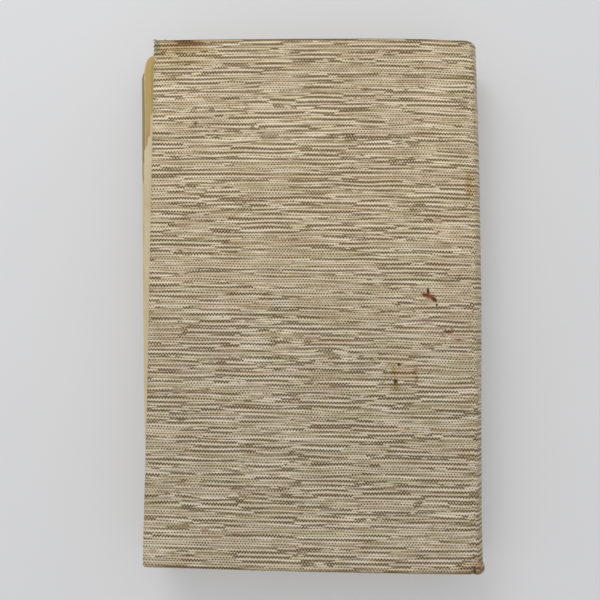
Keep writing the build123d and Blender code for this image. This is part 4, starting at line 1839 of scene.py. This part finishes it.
@dataclass
class Band:
    """A head or tail band: thread wound over a cord along the leaves' backs."""

    end: End
    leaves: Leaves
    radius: float = 0.82
    seat: float = 0.9
    thread: float = 0.42
    bulge: float = 0.09
    end_run: float = 0.6
    sides: int = 14
    steps: int = 220

    def build(self, material: bpy.types.Material) -> bpy.types.Object:
        """Makes the band.

        Args:
            material: The thread's material.

        Returns:
            The piece.
        """
        y = (SIZES.leaf_head if self.end is End.HEAD else SIZES.leaf_tail) + self.end.value * self.seat
        centre_x, centre_z, leaf_radius = SIZES.leaf_round()
        path_radius = leaf_radius - self.seat
        middle_x = self.leaves.top_back_x() + centre_x + self.leaves.skew(y)
        levels = (SIZES.block_bottom + self.seat, SIZES.block_top - self.seat)
        first, last = (math.asin((z - centre_z) / path_radius) for z in levels)
        angle = np.linspace(first, last, self.steps + 1)[:, None]
        around = np.linspace(0, math.tau, self.sides + 1)
        length = (angle - first) * path_radius
        turns = length / self.thread + around / math.tau
        bulge = self.bulge * np.abs(np.sin(math.pi * turns))
        from_end = np.minimum(1, np.minimum(length, length.max() - length) / self.end_run + 0.02)
        radius = (self.radius + bulge) * np.sqrt(np.clip(1 - (1 - from_end) ** 2, 0.0004, 1))
        out = path_radius + radius * np.cos(around)
        x, z = middle_x + out * np.cos(angle), centre_z + out * np.sin(angle)
        points = xyz(x, y + radius * np.sin(around), z)
        maker = MeshMaker()
        maker.add_tube(points, thread_turn=xyz(turns, around, 0.0))
        piece = maker.build(f"{self.end.name.lower()}_wound_band", material, 80.0)
        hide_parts(f"{self.end.name.lower()}_band")
        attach(piece, LEAVES_BODY)
        return piece


@dataclass(frozen=True)
class Strand:
    """One thread end that has come loose: where it leaves the cloth, its heading and how far it reaches."""

    x: float
    y: float
    z: float
    heading_deg: float
    reach: float
    lift: float = 0.25
    curl: float = 0.6


@dataclass
class FrayedThreads:
    """Loose thread ends at a cover's or the spine's worn corner."""

    name: str
    body: str
    strands: tuple[Strand, ...]
    radius: float = 0.085
    taper: float = 0.55
    turns: float = 30.0
    steps: int = 12
    sides: int = 6

    def build(self, material: bpy.types.Material) -> bpy.types.Object:
        """Makes the threads.

        Args:
            material: The thread's material.

        Returns:
            The piece.
        """
        maker = MeshMaker()
        along = np.linspace(0, 1, self.steps + 1)[:, None]
        around = np.linspace(0, math.tau, self.sides + 1)
        thin = self.radius * (1 - self.taper * along)
        for strand in self.strands:
            heading = math.radians(strand.heading_deg) + strand.curl * (along - 0.5)
            step = strand.reach / self.steps
            x = strand.x + np.cumsum(np.cos(heading), axis=0) * step
            y = strand.y + np.cumsum(np.sin(heading), axis=0) * step
            z = strand.z + strand.lift * np.sin(math.pi * along * 0.8)
            beside = thin * np.cos(around)
            x, y = x - np.sin(heading) * beside, y + np.cos(heading) * beside
            points = xyz(x, y, z + thin * np.sin(around))
            maker.add_tube(points, thread_turn=xyz(along * self.turns, around, 0.0))
        piece = maker.build(self.name, material, 80.0)
        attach(piece, self.body)
        return piece


@dataclass(frozen=True)
class Studio:
    """Pale table, soft light and the camera above the book. Its lengths are in metres."""

    floor_size: float = 6.0
    floor_colour: Colour = (0.66, 0.665, 0.67)
    floor_shade: float = 0.97
    camera_place: tuple[float, float, float] = (0.00095, -0.02445, 0.3305)
    camera_turn_deg: tuple[float, float, float] = (4.43, 0.06, 0.32)
    lens_mm: float = 47.94
    near_clip: float = 0.01
    sky: Colour = (0.99, 0.985, 1.0)
    sky_strength: float = 0.65
    overhead_strength: float = 0.60
    overhead_angle_deg: float = 12.0
    key_place: tuple[float, float, float] = (-0.25, 0.55, 0.55)
    key_size: float = 0.4
    key_watts: float = 1.9

    def build(self) -> None:
        """Makes the floor, the lights and the camera."""
        self.make_floor()
        world = bpy.data.worlds.new("studio")
        world.use_nodes = True
        back = world.node_tree.nodes["Background"]
        back.inputs["Color"].default_value = (*self.sky, 1.0)
        back.inputs["Strength"].default_value = self.sky_strength
        lamp = bpy.data.lights.new("key", "AREA")
        lamp.size, lamp.energy = self.key_size, self.key_watts
        x, y, z = self.key_place
        to_middle = (math.atan2(math.hypot(x, y), z), 0.0, math.atan2(-y, -x) - math.pi / 2)
        sun = bpy.data.lights.new("overhead", "SUN")
        sun.energy, sun.angle = self.overhead_strength, math.radians(self.overhead_angle_deg)
        lens = bpy.data.cameras.new("camera")
        lens.lens, lens.clip_start = self.lens_mm, self.near_clip
        camera_turn = tuple(math.radians(angle) for angle in self.camera_turn_deg)
        origin = straight_down = (0.0, 0.0, 0.0)
        for name, data, place, turn in (
            ("key", lamp, self.key_place, to_middle), ("overhead", sun, origin, straight_down),
            ("camera", lens, self.camera_place, camera_turn),
        ):
            made = bpy.data.objects.new(name, data)
            made.location, made.rotation_euler = place, turn
            bpy.context.scene.collection.objects.link(made)
        bpy.context.scene.world = world
        bpy.context.scene.camera = bpy.data.objects["camera"]
        bpy.context.scene.view_settings.view_transform = "Standard"

    def make_floor(self) -> None:
        """Makes the table top, just under the book."""
        half = self.floor_size / 2
        mesh = bpy.data.meshes.new("table_top")
        corners = [(-half, -half, 0), (half, -half, 0), (half, half, 0), (-half, half, 0)]
        mesh.from_pydata(corners, [], [(0, 1, 2, 3)])
        floor = bpy.data.objects.new("table_top", mesh)
        bpy.context.scene.collection.objects.link(floor)
        g = Surface("table_paint")
        shade = tuple(c * self.floor_shade for c in self.floor_colour)
        g.set("Base Color", g.blend(g.noise(g.object_metres(), 14.0, 3.0), self.floor_colour, shade))
        g.set("Roughness", 0.8)
        mesh.materials.append(g.material)


def dress_hidden_nodes(board: bpy.types.Material) -> None:
    """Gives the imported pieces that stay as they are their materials.

    Args:
        board: The grey board's material.
    """
    kraft = PaperFinish("kraft_lining", (0.42, 0.29, 0.17), (0.30, 0.19, 0.10), 0.0).dress()
    mull = MullFinish().dress()
    finishes = {
        "front_board": board, "back_board": board, "spine_lining": kraft,
        "mull": mull, "front_mull_flap": mull, "back_mull_flap": mull,
    }
    for node, material in finishes.items():
        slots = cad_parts[node].data.materials
        slots.clear()
        slots.append(material)


def main() -> None:
    """Builds the studio and the book, and reports each piece."""
    logging.basicConfig(level=logging.INFO, format="%(message)s")
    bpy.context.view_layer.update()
    Studio().build()
    board = PaperFinish("grey_board", (0.40, 0.36, 0.29), (0.26, 0.23, 0.18), 0.2).dress()
    dress_hidden_nodes(board)
    cloth = ClothFinish().dress()
    endpaper = PaperFinish("endpaper", (0.67, 0.605, 0.425), (0.53, 0.455, 0.295), 0.35, True).dress()
    edges = LeafEdgeFinish().dress()
    loose = ThreadFinish("loose_thread", (0.34, 0.27, 0.17), (0.20, 0.14, 0.08)).dress()
    thread = ThreadFinish().dress()

    halves = {side: CaseCloth(side) for side in Side}
    leaves = Leaves()
    frayed_corner = FrayedThreads("frayed_corner", Side.BACK.body, (
        Strand(-56.8, 100.9, 25.5, 165.0, 1.3), Strand(-57.0, 100.3, 25.4, 178.0, 0.7, curl=-0.8),
        Strand(-56.4, 101.0, 25.6, 150.0, 0.9, curl=0.9), Strand(-57.3, 98.6, 25.3, 196.0, 0.5),
        Strand(-57.3, 95.2, 25.4, 184.0, 0.4), Strand(-53.0, 101.2, 25.6, 110.0, 0.5),
    ), 0.16)
    frayed_cap = FrayedThreads("frayed_cap", LEAVES_BODY, (
        Strand(65.7, -102.6, 25.9, 95.0, 2.6, 0.2, 0.5), Strand(66.2, -101.2, 25.9, 10.0, 2.2, 0.2, 0.5),
    ), 0.13)
    plan = [(half, cloth) for half in halves.values()]
    plan += [(SpineInlay(halves[Side.BACK], halves[Side.FRONT]), board), (leaves, edges)]
    for side in Side:
        sheets = (Flyleaf(side, leaves), Pastedown(side), EndpaperFold(side, leaves))
        plan += [(sheet, endpaper) for sheet in sheets]
    plan += [(frayed_corner, loose), (frayed_cap, loose)]
    plan += [(Band(end, leaves), thread) for end in End]
    for part, material in plan:
        piece = part.build(material)
        log.info("%s: %d points, %d faces", piece.name, len(piece.data.vertices), len(piece.data.polygons))


if __name__ == "__main__":
    main()
